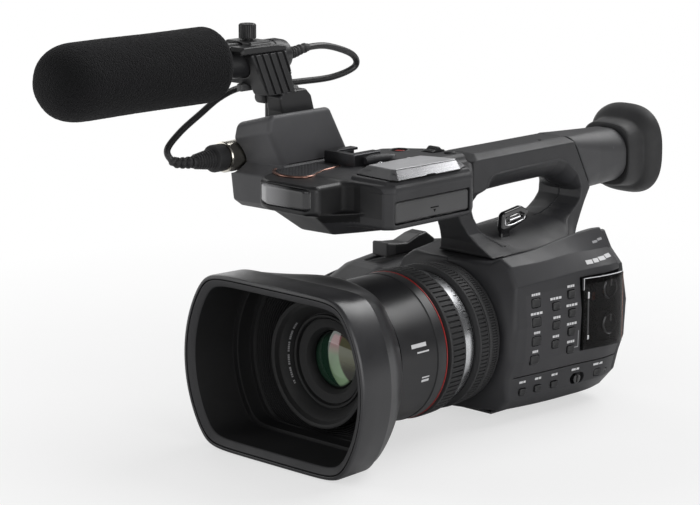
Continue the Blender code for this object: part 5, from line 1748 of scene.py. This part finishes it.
solid("handle_shell", handle_field, (-31, 42, 47), (31, 166, 112), 0.62,
      ["handle_skin", "body_skin"], node="handle",
      slot=lambda c, n: np.where(within(c, (-16.4, 60, -999), (16.4, 152, 92)), 1, 0))
lathe("tally_lamp_top", [(0, 109.6), (1.3, 109.6), (1.3, 110.1), (0.6, 110.3), (0, 110.3)],
      "screen_black", centre=(7.6, 126, 0), axis=ALONG_Z, seg=32, closed=False)

# ================================================================ top housing
# (x, y) outlines; tables hold one for each z
NOSE = [(-49, -52), (-43.5, -66), (-38, -73), (-29, -77), (1, -76.4), (7, -71), (7, -40),
        (-20, 0), (-52, 0)]
PLAN = [(-50, -40), (-30, -48), (6, -50), (13, -46.6), (33, -44), (38, -38.5), (38, 28),
        (30, 38), (18.5, 50), (17.5, 53.0), (-17.5, 53.0), (-18.5, 50), (-30, 42), (-48, 34),
        (-52, 20)]
KEEL = {74.5: [(-34, -44), (-26, -50), (-2, -48), (4, -34), (12, -12), (14, 18), (-22, 20),
               (-30, 0)],
        90.0: [(-47, -54), (-34, -70), (4, -70), (24, -38), (31, -10), (29, 32), (-34, 38),
               (-48, 12)]}
MOUND = {103.0: [(-46, 6), (2, 4), (12, 12), (15, 34), (15.5, 53.0), (-16.5, 53.0), (-30, 45),
                 (-46, 32)],
         112.0: [(-37, 14), (-4, 10), (2, 14), (10, 34), (11.5, 53.0), (-13, 53.0), (-28, 42),
                 (-38, 30)]}
TIER = {103.0: [(6, -47), (34, -44.5), (38.2, -39), (38.2, 29), (30, 37), (9, 38)],
        110.0: [(3, -39), (32, -39.4), (35.6, -36), (35.6, 27), (28, 33), (6, 34)]}


def top_field(pos):
    x, y, z = pos
    nose = slab(polygon(x, y, NOSE, 5.5), z, 89.4, 107.3, 3.4)
    # bow and lean of the nose's front face
    face = (-(y + 76.6) - (x + 16) ** 2 * 0.0016 + (107 - z) * 0.10) * 0.98 - 0.6
    nose = soft_max(nose, face, 2.5)
    block = slab(polygon(x, y, PLAN, 4.5), z, 81.0, 107.3, 3.0)
    shape = soft_min(nose, block, 2.5)
    # table, corner rounding, z span, rim rounding, softness of the join
    for table, rounding, low, high, rim, soft in ((KEEL, 3.0, 74.5, 90.0, 1.2, 3.0),
                                                  (TIER, 2.0, 103.0, 109.6, 0.9, 0.6),
                                                  (MOUND, 3.5, 103.0, 112.0, 2.2, 2.0)):
        part = slab(sections(x, y, z, table, rounding), z, low, high, rim)
        shape = soft_min(shape, part, soft)
    # screen bay
    shape = cut(shape, box(pos, (-46, -38.5, 84.1), (60, 26.5, 98.1), 1.6), 0.5)
    # recess of the light window and its rounded low-x end
    shape = cut(shape, box(pos, (-41.0, -90, 92.6), (5.0, -73.4, 105.9), 2.6), 0.4)
    end = overlap(np.hypot(x + 30, y + 61) - 17.5, 92.6 - z, z - 105.9, x + 38)
    shape = cut(shape, end, 0.4)
    # ring gap round the record button, lever slot
    shape = cut(shape, bore(np.hypot(x + 25, y - 33), z, 108.4, 120, 5.4), 0.5)
    shape = cut(shape, box(pos, (-13.4, 38.4, 110.4), (-2.6, 51.6, 120), 0.8), 0.4)
    # split line round the housing
    line = np.abs(z - 100.6 - (y + 20) * 0.004) - 0.28
    return cut(shape, overlap(line, np.abs(block) - 0.45, x - 30, -40 - y))


def top_slots(centres, normals):
    slots = np.where(within(centres, (-999, -999, 88), (999, -44, 999)), 1, 0)
    cove = within(centres, (1.9, -67.5, 84), (17.5, -42.4, 106))
    # painted shade: the screen bay gets the near-black material
    bay = within(centres, (-46, -38.3, 84.3), (37.2, 26.3, 97.9))
    return np.where(bay, 3, np.where(cove, 2, slots))


solid("top_case", top_field, (-53, -78, 74), (39, 54, 113), 0.6,
      ["handle_skin", "nose_skin", "hood_inside", "gap_dark"], node="top_housing",
      slot=top_slots)

SLAB = {110.0: [(4.0, -36.4), (33.6, -38.8), (38.2, -36.6), (37.8, 17.8), (33, 28),
                (4.2, 20.6)],
        114.0: [(4.9, -27.0), (24.4, -28.4), (27.4, -27.2), (29.2, 23.4), (27.4, 26.0),
                (5.2, 18.6)]}
GASKET = [(4.4, -36), (33.6, -38.4), (37.6, -36), (37.3, 17.4), (32.6, 27.2), (4.4, 20)]
SLAB_TOP = {113.8: [(5.2, -26.4), (24.2, -27.7), (27.0, -26.6), (28.8, 23.1), (27.2, 25.4),
                    (5.5, 18.1)],
            114.25: [(5.4, -26.2), (24.1, -27.5), (26.8, -26.4), (28.6, 22.9), (27.0, 25.2),
                     (5.7, 17.9)]}


def plate(name, table, rounding, rim, mat, step, holes=None):
    """Flat solid between the two z stations of table; holes(pos) is cut out of it."""
    z_min, z_max = sorted(table)
    points = sum(table.values(), [])

    def field(pos):
        shape = slab(sections(*pos, table, rounding), pos[2], z_min, z_max, rim)
        return cut(shape, holes(pos)) if holes else shape

    solid(name, field, (*np.min(points, 0), z_min), (*np.max(points, 0), z_max), step, mat)


def slab_field(pos):
    return slab(sections(*pos, SLAB, 0.8), pos[2], 110.0, 114.0, 0.4)


solid("control_slab", slab_field, (3, -40, 109.5), (39, 29, 114.6), 0.42,
      ["edge_silver", "body_skin"],
      slot=lambda c, n: np.where((n[:, 0] > 0.25) & (n[:, 2] < 0.97), 0, 1))
# painted shade: near-black sheet between the slab and the housing
plate("control_slab_gasket", {109.2: GASKET, 110.3: GASKET}, 0.8, 0.1, "gap_dark", 0.5)
plate("control_slab_top", SLAB_TOP, 0.5, 0.1, "top_silver", 0.4)
bar("slab_strip", (-4.6, -13.5, 109.0), (4.2, 19.0, 111.6), "body_skin", edge=1.0)
wire("top_ridge", [(-18.2, -5.0, 110.9), (-17.4, 0, 111.2), (-16.0, 9, 111.2),
                   (-14.8, 16.5, 110.9)], [2.2, 3.0, 3.0, 2.3], "body_skin", seg=32)
for i, (x, y) in enumerate([(-2.2, -8.4), (-1.0, 15.2)]):
    lathe("slab_screw_%d" % i,
          round_profile([(0, 110.6), (1.6, 110.6), (1.6, 112.2), (0.7, 112.7), (0, 112.3)],
                        [0, 0, 0.3, 0.2, 0]),
          "screw_steel", centre=(x, y, 0), axis=ALONG_Z, seg=32, closed=False)
# painted shade: near-black notch in the slab's edge
bar("slab_notch", (37.0, -11, 110.0), (38.25, -4.5, 110.8), "gap_dark", edge=0.15)

# grille on the nose, with its copper trim
GRILLE = [(-47.5, -52), (-40.5, -57.6), (-32.5, -60.6), (-24, -59.8), (-19.2, -56),
          (-18.4, -50.6), (-22.6, -42), (-26.6, -32), (-28.2, -22), (-30, -17.5),
          (-47.5, -17.5)]
GRILLE_TRIM = [(-49.2, -49), (-46.5, -53.6), (-40.5, -58.2), (-32.5, -61.2), (-23.6, -60.4),
               (-18.4, -56.4), (-17.6, -50.6), (-21.8, -41.6), (-25.8, -32), (-27.4, -22),
               (-29.0, -15.5)]
GRILLE_PITCH = 2.6


def grille_holes(pos):
    x, y, z = pos
    holes = np.hypot(((x + 200.9) % GRILLE_PITCH) - GRILLE_PITCH / 2,
                     ((y + 200.7) % GRILLE_PITCH) - GRILLE_PITCH / 2) - 0.62
    return overlap(holes, polygon(x, y, GRILLE, 1.5) + 2.0, 107.6 - z)


plate("mic_grille",
      {106.4: GRILLE, 108.3: [(x * 0.97 - 1.0, y * 0.97 - 1.1) for x, y in GRILLE]},
      1.5, 0.6, "body_skin", 0.42, grille_holes)
wire("grille_trim", smooth_path([(x, y, 107.75) for x, y in GRILLE_TRIM], 8), 0.85,
     "trim_copper", seg=12)

# light window, curved round the nose's low-x corner
WINDOW_OUT = [(-47.0, -56), (-43.6, -65.2), (-38, -72.6), (-29, -76.9), (1, -76.3), (5, -74),
              (5, -60), (-40, -50)]
WINDOW_IN = [(-44.4, -56), (-41, -64), (-36, -70.4), (-28.4, -74.0), (1, -73.8), (5, -72),
             (5, -60), (-40, -50)]


def window_field(pos):
    x, y, z = pos
    hull = slab(polygon(x, y, WINDOW_OUT, 5.0), z, 93.0, 105.4, 2.2)
    end = np.hypot(np.maximum(-(x + 36.5), 0), np.maximum(np.abs(z - 99.2) - 1.0, 0)) - 5.2
    straight = overlap(np.abs(z - 99.25) - 6.1, x - 4.2, -(x + 36.5))
    outline = np.minimum(straight, np.maximum(end, x + 36.5))
    return cut(np.maximum(hull, outline), slab(polygon(x, y, WINDOW_IN, 5.0), z, 80, 120))


solid("light_window_lens", window_field, (-45, -78, 92), (6, -60, 107), 0.5, "light_frost",
      node="light_window")

# small round window on the +x side of the nose
for i, (radius, mat, proud) in enumerate([(3.0, "key_skin", 0.0), (2.2, "gloss_black", 0.35),
                                          (0.9, "screen_black", 0.55)]):
    lathe("cove_lens_%d" % i,
          round_profile([(0, 2.4), (radius, 2.4), (radius, 3.2 + proud),
                         (radius * 0.75, 3.45 + proud), (0, 3.3 + proud)],
                        [0, 0.1, 0.2, 0.2, 0]),
          mat, centre=(0, -50.5, 95.4), axis=ALONG_X, seg=48, closed=False)


# accessory shoe: floor and two turned-in rails
def shoe_field(pos):
    x, y, z = off = [pos[0], pos[1] - 5.0, pos[2] - 1.2]
    shape = box(off, (-44.6, -18, 105.6), (-19.4, 5, 114.0), 0.6)
    shape = cut(shape, box(off, (-41.6, -15.4, 109.6), (-22.4, 20, 112.4), 0.2), 0.2)
    shape = cut(shape, box(off, (-38.4, -13.4, 111.4), (-25.6, 20, 120), 0.4), 0.3)
    for y_hole in (-8.5, 1.0):
        shape = cut(shape, np.maximum(np.hypot(x + 32, y - y_hole) - 1.4, 109.0 - z))
    return shape


solid("shoe_rails", shoe_field, (-46, -14, 106), (-18, 11, 116), 0.42, "shoe_black",
      node="accessory_shoe")
bar("shoe_spring", (-39.6, -7, 110.75), (-24.4, 8.4, 111.1), "screw_steel", edge=0.1)

# record button with its rim, and the zoom lever
lathe("handle_rec_cap",
      round_profile([(0, 110.55), (4.4, 110.55), (4.4, 110.9), (3.7, 111.4), (3.0, 111.2),
                     (0, 111.0)], [0, 0.1, 0.35, 0.25, 0.2, 0]),
      "red_skin", "handle_rec_key", "handle_rec_button", (-25, 33, 0), ALONG_Z, seg=72,
      closed=False)
lathe("handle_rec_rim",
      round_profile([(4.9, 110.4), (6.3, 110.4), (6.3, 112.1), (5.7, 112.5), (4.9, 112.2)], 0.2),
      "key_side", centre=(-25, 33, 0), axis=ALONG_Z, seg=72)
LEVER = [(-5.5, 0), (5.5, 0), (5.5, 1.6), (3, 2.2), (0.8, 4.4), (-0.8, 4.4), (-3, 2.2),
         (-5.5, 1.6)]


def lever_field(pos):
    x, y, z = off = [pos[0] + 8, pos[1] - 45, (pos[2] - 111.4) * 1.25]
    shape = slab(polygon(y, z, LEVER, 0.5), x, -4, 4, 0.6)
    for k in range(3):
        low, high = (-3, -4.9 + k * 1.1, 1.6), (3, -4.4 + k * 1.1, 5)
        shape = cut(shape, box(off, low, high, 0.1), 0.2)
    return shape


solid("zoom_lever_cap", lever_field, (-12.5, 39, 111), (-3.5, 51, 116), 0.32, "key_skin",
      "handle_zoom", "handle_zoom_lever")
lathe("top_thumb_knob",
      round_profile([(0, 110), (3.6, 110), (3.6, 112.6), (3.0, 113.3), (0, 113.1)],
                    [0, 0, 0.3, 0.4, 0]),
      "key_skin", centre=(4.4, 45.8, 0), axis=ALONG_Z, seg=64, closed=False)


# screen panel: pulled out sideways by its end face
def panel_field(pos):
    shape = box(pos, (-44.5, -38.0, 84.6), (37.6, 26.0, 97.6), 2.2)
    shape = cut(shape, box(pos, (-38.5, -33.3, 80), (31.5, 19.3, 85.6), 0.8), 0.3)
    return cut(shape, box(pos, (35.8, -9.0, 82), (40, 2.0, 85.4), 0.6), 0.3)


solid("screen_case", panel_field, (-45, -39, 84), (38, 27, 98), 0.6,
      ["key_skin", "grey_panel"], "screen", "lcd_panel",
      lambda c, n: np.where(c[:, 0] > 36.2, 1, 0))
bar("screen_glass", (-38.2, -33, 84.9), (31.2, 19, 85.9), "screen_black", "screen",
    "lcd_screen", edge=0.3)
bar("screen_bezel_mark", (37.45, -8.0, 90.2), (37.72, -1.0, 90.9), "gap_dark", "screen",
    edge=0.1)
arrow = [(x, y, z) for x in (37.4, 37.72) for y, z in ((-5.6, 89.4), (-3.4, 89.4), (-4.5, 87.6))]
loft("screen_pull_arrow", arrow,
     [[0, 1, 2], [3, 5, 4], [0, 3, 4, 1], [1, 4, 5, 2], [2, 5, 3, 0]], "gap_dark", "screen")
for i in range(5):
    bar("screen_key_%d" % i, (33.0, -28 + i * 9.0, 84.2), (35.6, -23 + i * 9.0, 84.85),
        "grey_panel", "screen", edge=0.25)


# ================================================================ viewfinder tube
def evf_field(pos):
    x, y, z = pos
    stations = [148, 176, 190, 202]
    half_width = np.interp(y, stations, [17.0, 17.2, 18.0, 18.4])
    top = np.interp(y, stations, [110.4, 109.9, 109.4, 109.0])
    bottom = np.interp(y, [148, 168, 178, 190, 202], [73.5, 73.8, 74.0, 74.2, 74.4])
    corner = np.interp(y, [148, 160, 176, 190, 202], [6.0, 9.0, 12.0, 14.0, 15.0])
    shape = rounded_section(x, z - (top + bottom) / 2, half_width, (top - bottom) / 2, corner)
    # slanted front face and square rear
    shape = soft_max(shape, -((y - 149.2) * 36.9 + (z - 110.4) * 19.7) / 41.8, 1.2)
    shape = soft_max(shape, y - 202.0, 1.0)
    # bore for the optics, diopter recess
    shape = cut(shape, bore(np.hypot(x, z - EYE_Z), y, 189.6, 210, 15.2), 0.6)
    return cut(shape, np.maximum(np.hypot(y - 186, z - 84) - 6.4, x + 15.5), 0.5)


solid("viewfinder_case", evf_field, (-20, 148, 71), (20, 203, 112), 0.62, "tube_skin",
      "viewfinder", "evf_tube")
bar("viewfinder_knuckle", (-6.0, 145.8, 108.5), (6.0, 151.6, 110.4), "key_skin", "viewfinder",
    edge=0.5)
wire("viewfinder_hinge_pin", [(x, 147.0, 109.5) for x in (-7.4, 0, 7.4)], 0.7, "screw_steel")
lathe("diopter_wheel",
      round_profile([(0, 0.2), (5.7, 0.2), (5.8, 2.7), (4.9, 3.3), (0, 3.1)],
                    [0, 0.2, 0.3, 0.2, 0]),
      "key_skin", "diopter", "diopter_lever", (-15.9, 186, 84),
      ((0, 1, 0), (0, 0, 1), (-1, 0, 0)), seg=156, closed=False,
      wave=ribs(26, 0.25, 0.5, 0.3, range(3, 8)))
bar("diopter_tab", (-19.35, 185.3, 86.6), (-18.7, 186.7, 90.4), "key_skin", "diopter",
    edge=0.2)

# ================================================================ sound input box
# {x: (y, z) outline} of the upper and the lower moulding
UPPER_BOX = {-92.0: [(-36, 79), (-39, 105), (-43.4, 121), (-41, 129.8), (-3, 129.8),
                     (13, 108), (18, 79)],
             -52.4: [(-36, 80), (-40, 108), (-51.6, 129), (-50.6, 139.8), (0.6, 139.8),
                     (16.8, 111), (20, 80)]}
LOWER_BOX = {-93.5: [(-43, 83), (-45.2, 100.5), (-39.4, 107), (10, 106), (14, 79),
                     (-36.6, 78.5)],
             -50.5: [(-44, 84), (-46.2, 101.0), (-39.8, 108), (10, 108), (14, 80), (-37, 79)]}
SWITCH_Y = (-20, -6)


def audio_field(pos):
    x, y, z = pos
    upper = slab(sections(y, z, x, UPPER_BOX, 5.0), x, -92.0, -52.2, 3.4)
    lower = slab(sections(y, z, x, LOWER_BOX, 2.4), x, -93.5, -50.5, 2.4)
    # pod on the outer side that carries the socket
    pod = box(pos, (-107.0, -25.5, 95.0), (-88, 13, 123.0), 3.0)
    shape = soft_min(np.minimum(upper, lower), pod, 1.5)
    shape = cut(shape, bore(np.hypot(x - PLUG[0], z - PLUG[2]), y, -60, -23, 10.4), 0.5)
    # parting line between the two mouldings, outline of a cover, and switch wells
    shape = cut(shape, overlap(np.abs(z - 108.2) - 0.3, -upper - 0.6, -36 - y))
    cover = box(pos, (-88, 0, 84), (-57, 40, 104), 1.5)
    shape = cut(shape, np.maximum(np.abs(cover) - 0.25, 8 - y))
    for y_mid in SWITCH_Y:
        well = box(pos, (-99, y_mid - 4, 84), (-92.2, y_mid + 4, 91), 0.8)
        shape = cut(shape, well, 0.3)
    return shape


solid("sound_box", audio_field, (-108, -53, 78), (-50, 21, 141), 0.72, "box_skin",
      node="audio_box")
for i, y in enumerate(SWITCH_Y):
    bar("sound_switch_%d" % i, (-94.6, y - 1.6, 85.4), (-91.6, y + 0.6, 89.8), "key_skin")
lathe("socket_ring",
      round_profile([(9.9, -22.5), (12.2, -22.5), (12.2, -26.0), (11.6, -26.8), (9.9, -26.8)],
                    0.4),
      "key_side", centre=(PLUG[0], 0, PLUG[2]))

# ================================================================ microphone holder and clamp
# (y, z) outlines
HOLDER_ARM = [(-40.3, 149), (-55.4, 174.8), (-25.6, 174.8), (-17.4, 149)]
HOLDER_FOOT = [(-29, 125), (-29.4, 138), (-31.4, 147), (-27.4, 150.4), (-9, 150.4),
               (-4.6, 146), (-1.6, 136), (-1.6, 125)]
CLAMP = [(-62.6, 175.2), (-63.6, 177.4), (-61, 179.8), (-33, 179.6), (-25.4, 178.2),
         (-25.4, 175.2)]
CLAMP_HUMP = [(-52, 176), (-50, 181.6), (-34, 181.6), (-31, 176)]
CLAMP_KNOB_CENTRE = (-79.2, -42.8, 180.9)


def cut_mic(shape, pos):
    """Removes the bore that holds the microphone."""
    away = np.hypot(pos[0] - MIC_CENTRE[0], pos[2] - MIC_CENTRE[2])
    return cut(shape, bore(away, pos[1], -90, 30, 10.9), 0.7)


def holder_field(pos):
    x, y, z = pos
    side = polygon(y, z, HOLDER_ARM, 0.8)
    arm = slab(side, x, -77.0, -63.0, 1.0)
    ring = slab(soft_max(side, 154.6 - z, 1.0), x, -97.0, -63.0, 1.4)
    shape = np.minimum(arm, ring)
    for k in range(5):
        groove = np.abs(y - (-52.4 + k * 5.9) - (174.8 - z) * 0.44) * 0.915 - 1.05
        shape = cut(shape, overlap(groove, -64.3 - x, 149.6 - z), 0.35)
    # the foot and neck stand on the sloping top of the sound box
    above_box = 139.6 - 10.0 * (x + 52.4) / -39.6 + 0.1 - z
    foot = slab(polygon(y, z, HOLDER_FOOT, 2.2), x, -76.5, -63.2, 1.5)
    shape = soft_min(shape, np.maximum(foot, above_box), 0.5)
    neck = box(pos, (-82, -27, 130), (-70, -8, 152), 2.0)
    shape = soft_min(shape, np.maximum(neck, above_box), 0.5)
    return cut_mic(shape, pos)


def clamp_field(pos):
    x, y, z = pos
    lid = slab(polygon(y, z, CLAMP, 0.7), x, -97, -63, 1.2)
    hump = slab(polygon(y, z, CLAMP_HUMP, 1.2), x, -91, -69, 1.4)
    return cut_mic(soft_min(lid, hump, 1.2), pos)


solid("holder_body", holder_field, (-98, -57, 129), (-62, -1, 176), 0.55, "key_skin",
      node="mic_holder")
solid("clamp_body", clamp_field, (-98, -65, 174), (-62, -24, 182.5), 0.55, "key_skin",
      "clamp_lid", "mic_clamp")
lathe("clamp_screw_knob",
      [(0, 0.3), (3.2, 0.3), (3.2, 1.6), (5.0, 1.8), (5.3, 2.2), (5.3, 9.6), (5.0, 10.2),
       (4.4, 10.6), (3.6, 10.5), (3.4, 10.2), (0, 10.2)],
      "key_skin", "clamp_screw", "mic_clamp_knob", CLAMP_KNOB_CENTRE, ALONG_Z, seg=192,
      closed=False, wave=ribs(24, 0.45, 0.5, 0.3, (4, 5, 6)), sharp=30)
lathe("clamp_washer", [(3.4, 0.0), (6.2, 0.0), (6.4, 0.3), (6.1, 0.8), (3.4, 0.8)],
      "key_side", "clamp_lid", centre=CLAMP_KNOB_CENTRE, axis=ALONG_Z, seg=64)
wire("clamp_hinge_pin", [(-97.4, y, 172.6) for y in (-53.5, -40, -31.5)], 1.4, "screw_steel",
     seg=20)
lathe("holder_latch",
      round_profile([(0, -3.0), (4.0, -3.0), (4.0, 3.0), (0, 3.0)], [0, 0.8, 0.8, 0]),
      "grey_panel", centre=(-80, -30.0, 146.0), axis=ALONG_X, seg=64, closed=False)
bar("holder_stub", (-84, -48, 150.6), (-79.5, -36, 155.4), "grey_panel", edge=1.2)


# ================================================================ floor, light, camera
def stage_material():
    """Pale floor that fades with distance into the plain white backdrop."""
    net = Material("stage_pale")
    net.shade({
        "Base Color": net.drift(net.noise(6.0), (0.86, 0.86, 0.86), (0.89, 0.89, 0.89)),
        "Roughness": 0.8,
        "Specular IOR Level": 0.1})
    place = net.axes()
    squares = [net.math("POWER", net.math("ABSOLUTE", place[axis]), 2.0) for axis in "XY"]
    away = net.math("SQRT", net.math("ADD", *squares))
    camera_ray = net.add("ShaderNodeLightPath").outputs["Is Camera Ray"]
    seen = net.math("MULTIPLY", net.span(away, to=(0.62, 1.0), band=(0.20, 0.55)), camera_ray)
    lit = net.span(away, to=(0.0, 0.9), band=(0.30, 0.62))
    glow = net.add("ShaderNodeEmission", {"Color": (1, 1, 1)})
    mixer = net.add("ShaderNodeMixShader", {
        0: net.math("MAXIMUM", seen, lit), 1: net.shader.outputs[0], 2: glow.outputs[0]})
    net.put(net.tree.nodes["Material Output"].inputs["Surface"], mixer.outputs[0])


def build_floor():
    work = bmesh.new()
    bmesh.ops.create_grid(work, x_segments=8, y_segments=8, size=6.0)
    mesh = bpy.data.meshes.new("studio_floor")
    work.to_mesh(mesh)
    work.free()
    mesh.materials.append(MATS["stage_pale"])
    floor = bpy.data.objects.new("studio_floor", mesh)
    floor.location = (0, 0, -0.0028)
    bpy.context.scene.collection.objects.link(floor)


def build_world():
    """Dim white light all round; the camera itself sees full white."""
    world = bpy.data.worlds.new("studio")
    bpy.context.scene.world = world
    world.use_nodes = True
    nodes, links = world.node_tree.nodes, world.node_tree.links
    ambient = nodes["Background"]
    seen = nodes.new("ShaderNodeBackground")
    for background, strength in ((ambient, 0.14), (seen, 1.0)):
        background.inputs["Color"].default_value = (1, 1, 1, 1)
        background.inputs["Strength"].default_value = strength
    ray = nodes.new("ShaderNodeLightPath")
    both = nodes.new("ShaderNodeMixShader")
    links.new(ray.outputs["Is Camera Ray"], both.inputs[0])
    links.new(ambient.outputs[0], both.inputs[1])
    links.new(seen.outputs[0], both.inputs[2])
    links.new(both.outputs[0], nodes["World Output"].inputs["Surface"])


def area_light(name, place, size, power):
    """Rectangular light aimed at the camcorder's middle; size is (x, y)."""
    light = bpy.data.lights.new(name, "AREA")
    light.energy = power
    light.shape = "RECTANGLE"
    light.size, light.size_y = size
    obj = bpy.data.objects.new(name, light)
    obj.visible_camera = False
    obj.location = place
    aim = Vector((0, 0, 0.09)) - Vector(place)
    obj.rotation_euler = aim.to_track_quat("-Z", "Y").to_euler()
    bpy.context.scene.collection.objects.link(obj)


def build_camera(place, azimuth, elevation):
    data = bpy.data.cameras.new("photo_view")
    data.sensor_width = 36
    data.lens = 130.212
    data.shift_x = 0.0042
    data.shift_y = -0.00258571
    data.clip_start = 0.05
    data.clip_end = 50
    camera = bpy.data.objects.new("photo_view", data)
    camera.location = place
    back = Vector((sin(azimuth) * cos(elevation), -cos(azimuth) * cos(elevation),
                   sin(elevation)))
    camera.rotation_mode = "QUATERNION"
    camera.rotation_quaternion = (-back).to_track_quat("-Z", "Y")
    bpy.context.scene.collection.objects.link(camera)
    bpy.context.scene.camera = camera


stage_material()
build_floor()
build_world()
area_light("top_back", place=(0.15, 0.95, 1.15), size=(1.3, 0.9), power=17)
area_light("key_right", place=(1.60, -0.35, 0.45), size=(1.1, 1.1), power=11)
area_light("front_soft", place=(0.55, -1.65, 1.0), size=(1.2, 0.9), power=6)
area_light("fill_left", place=(-1.1, -1.0, 0.6), size=(0.9, 1.2), power=5)
area_light("rim_left", place=(-1.2, 0.5, 0.6), size=(0.7, 1.2), power=4)
build_camera(place=(1.0089, -1.1852, 0.4277), azimuth=radians(44.02), elevation=radians(12.15))
bpy.context.scene.view_settings.view_transform = "Standard"

# CAD pieces that still show get a plain material each.
CAD_MATERIALS = {"zoom_lens_group": "barrel_skin", "sensor_prism": "prism_glass",
                 "main_board": "board_green"}
for node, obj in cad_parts.items():
    if not obj.hide_render:
        obj.data.materials.clear()
        obj.data.materials.append(MATS[CAD_MATERIALS.get(node, "key_skin")])
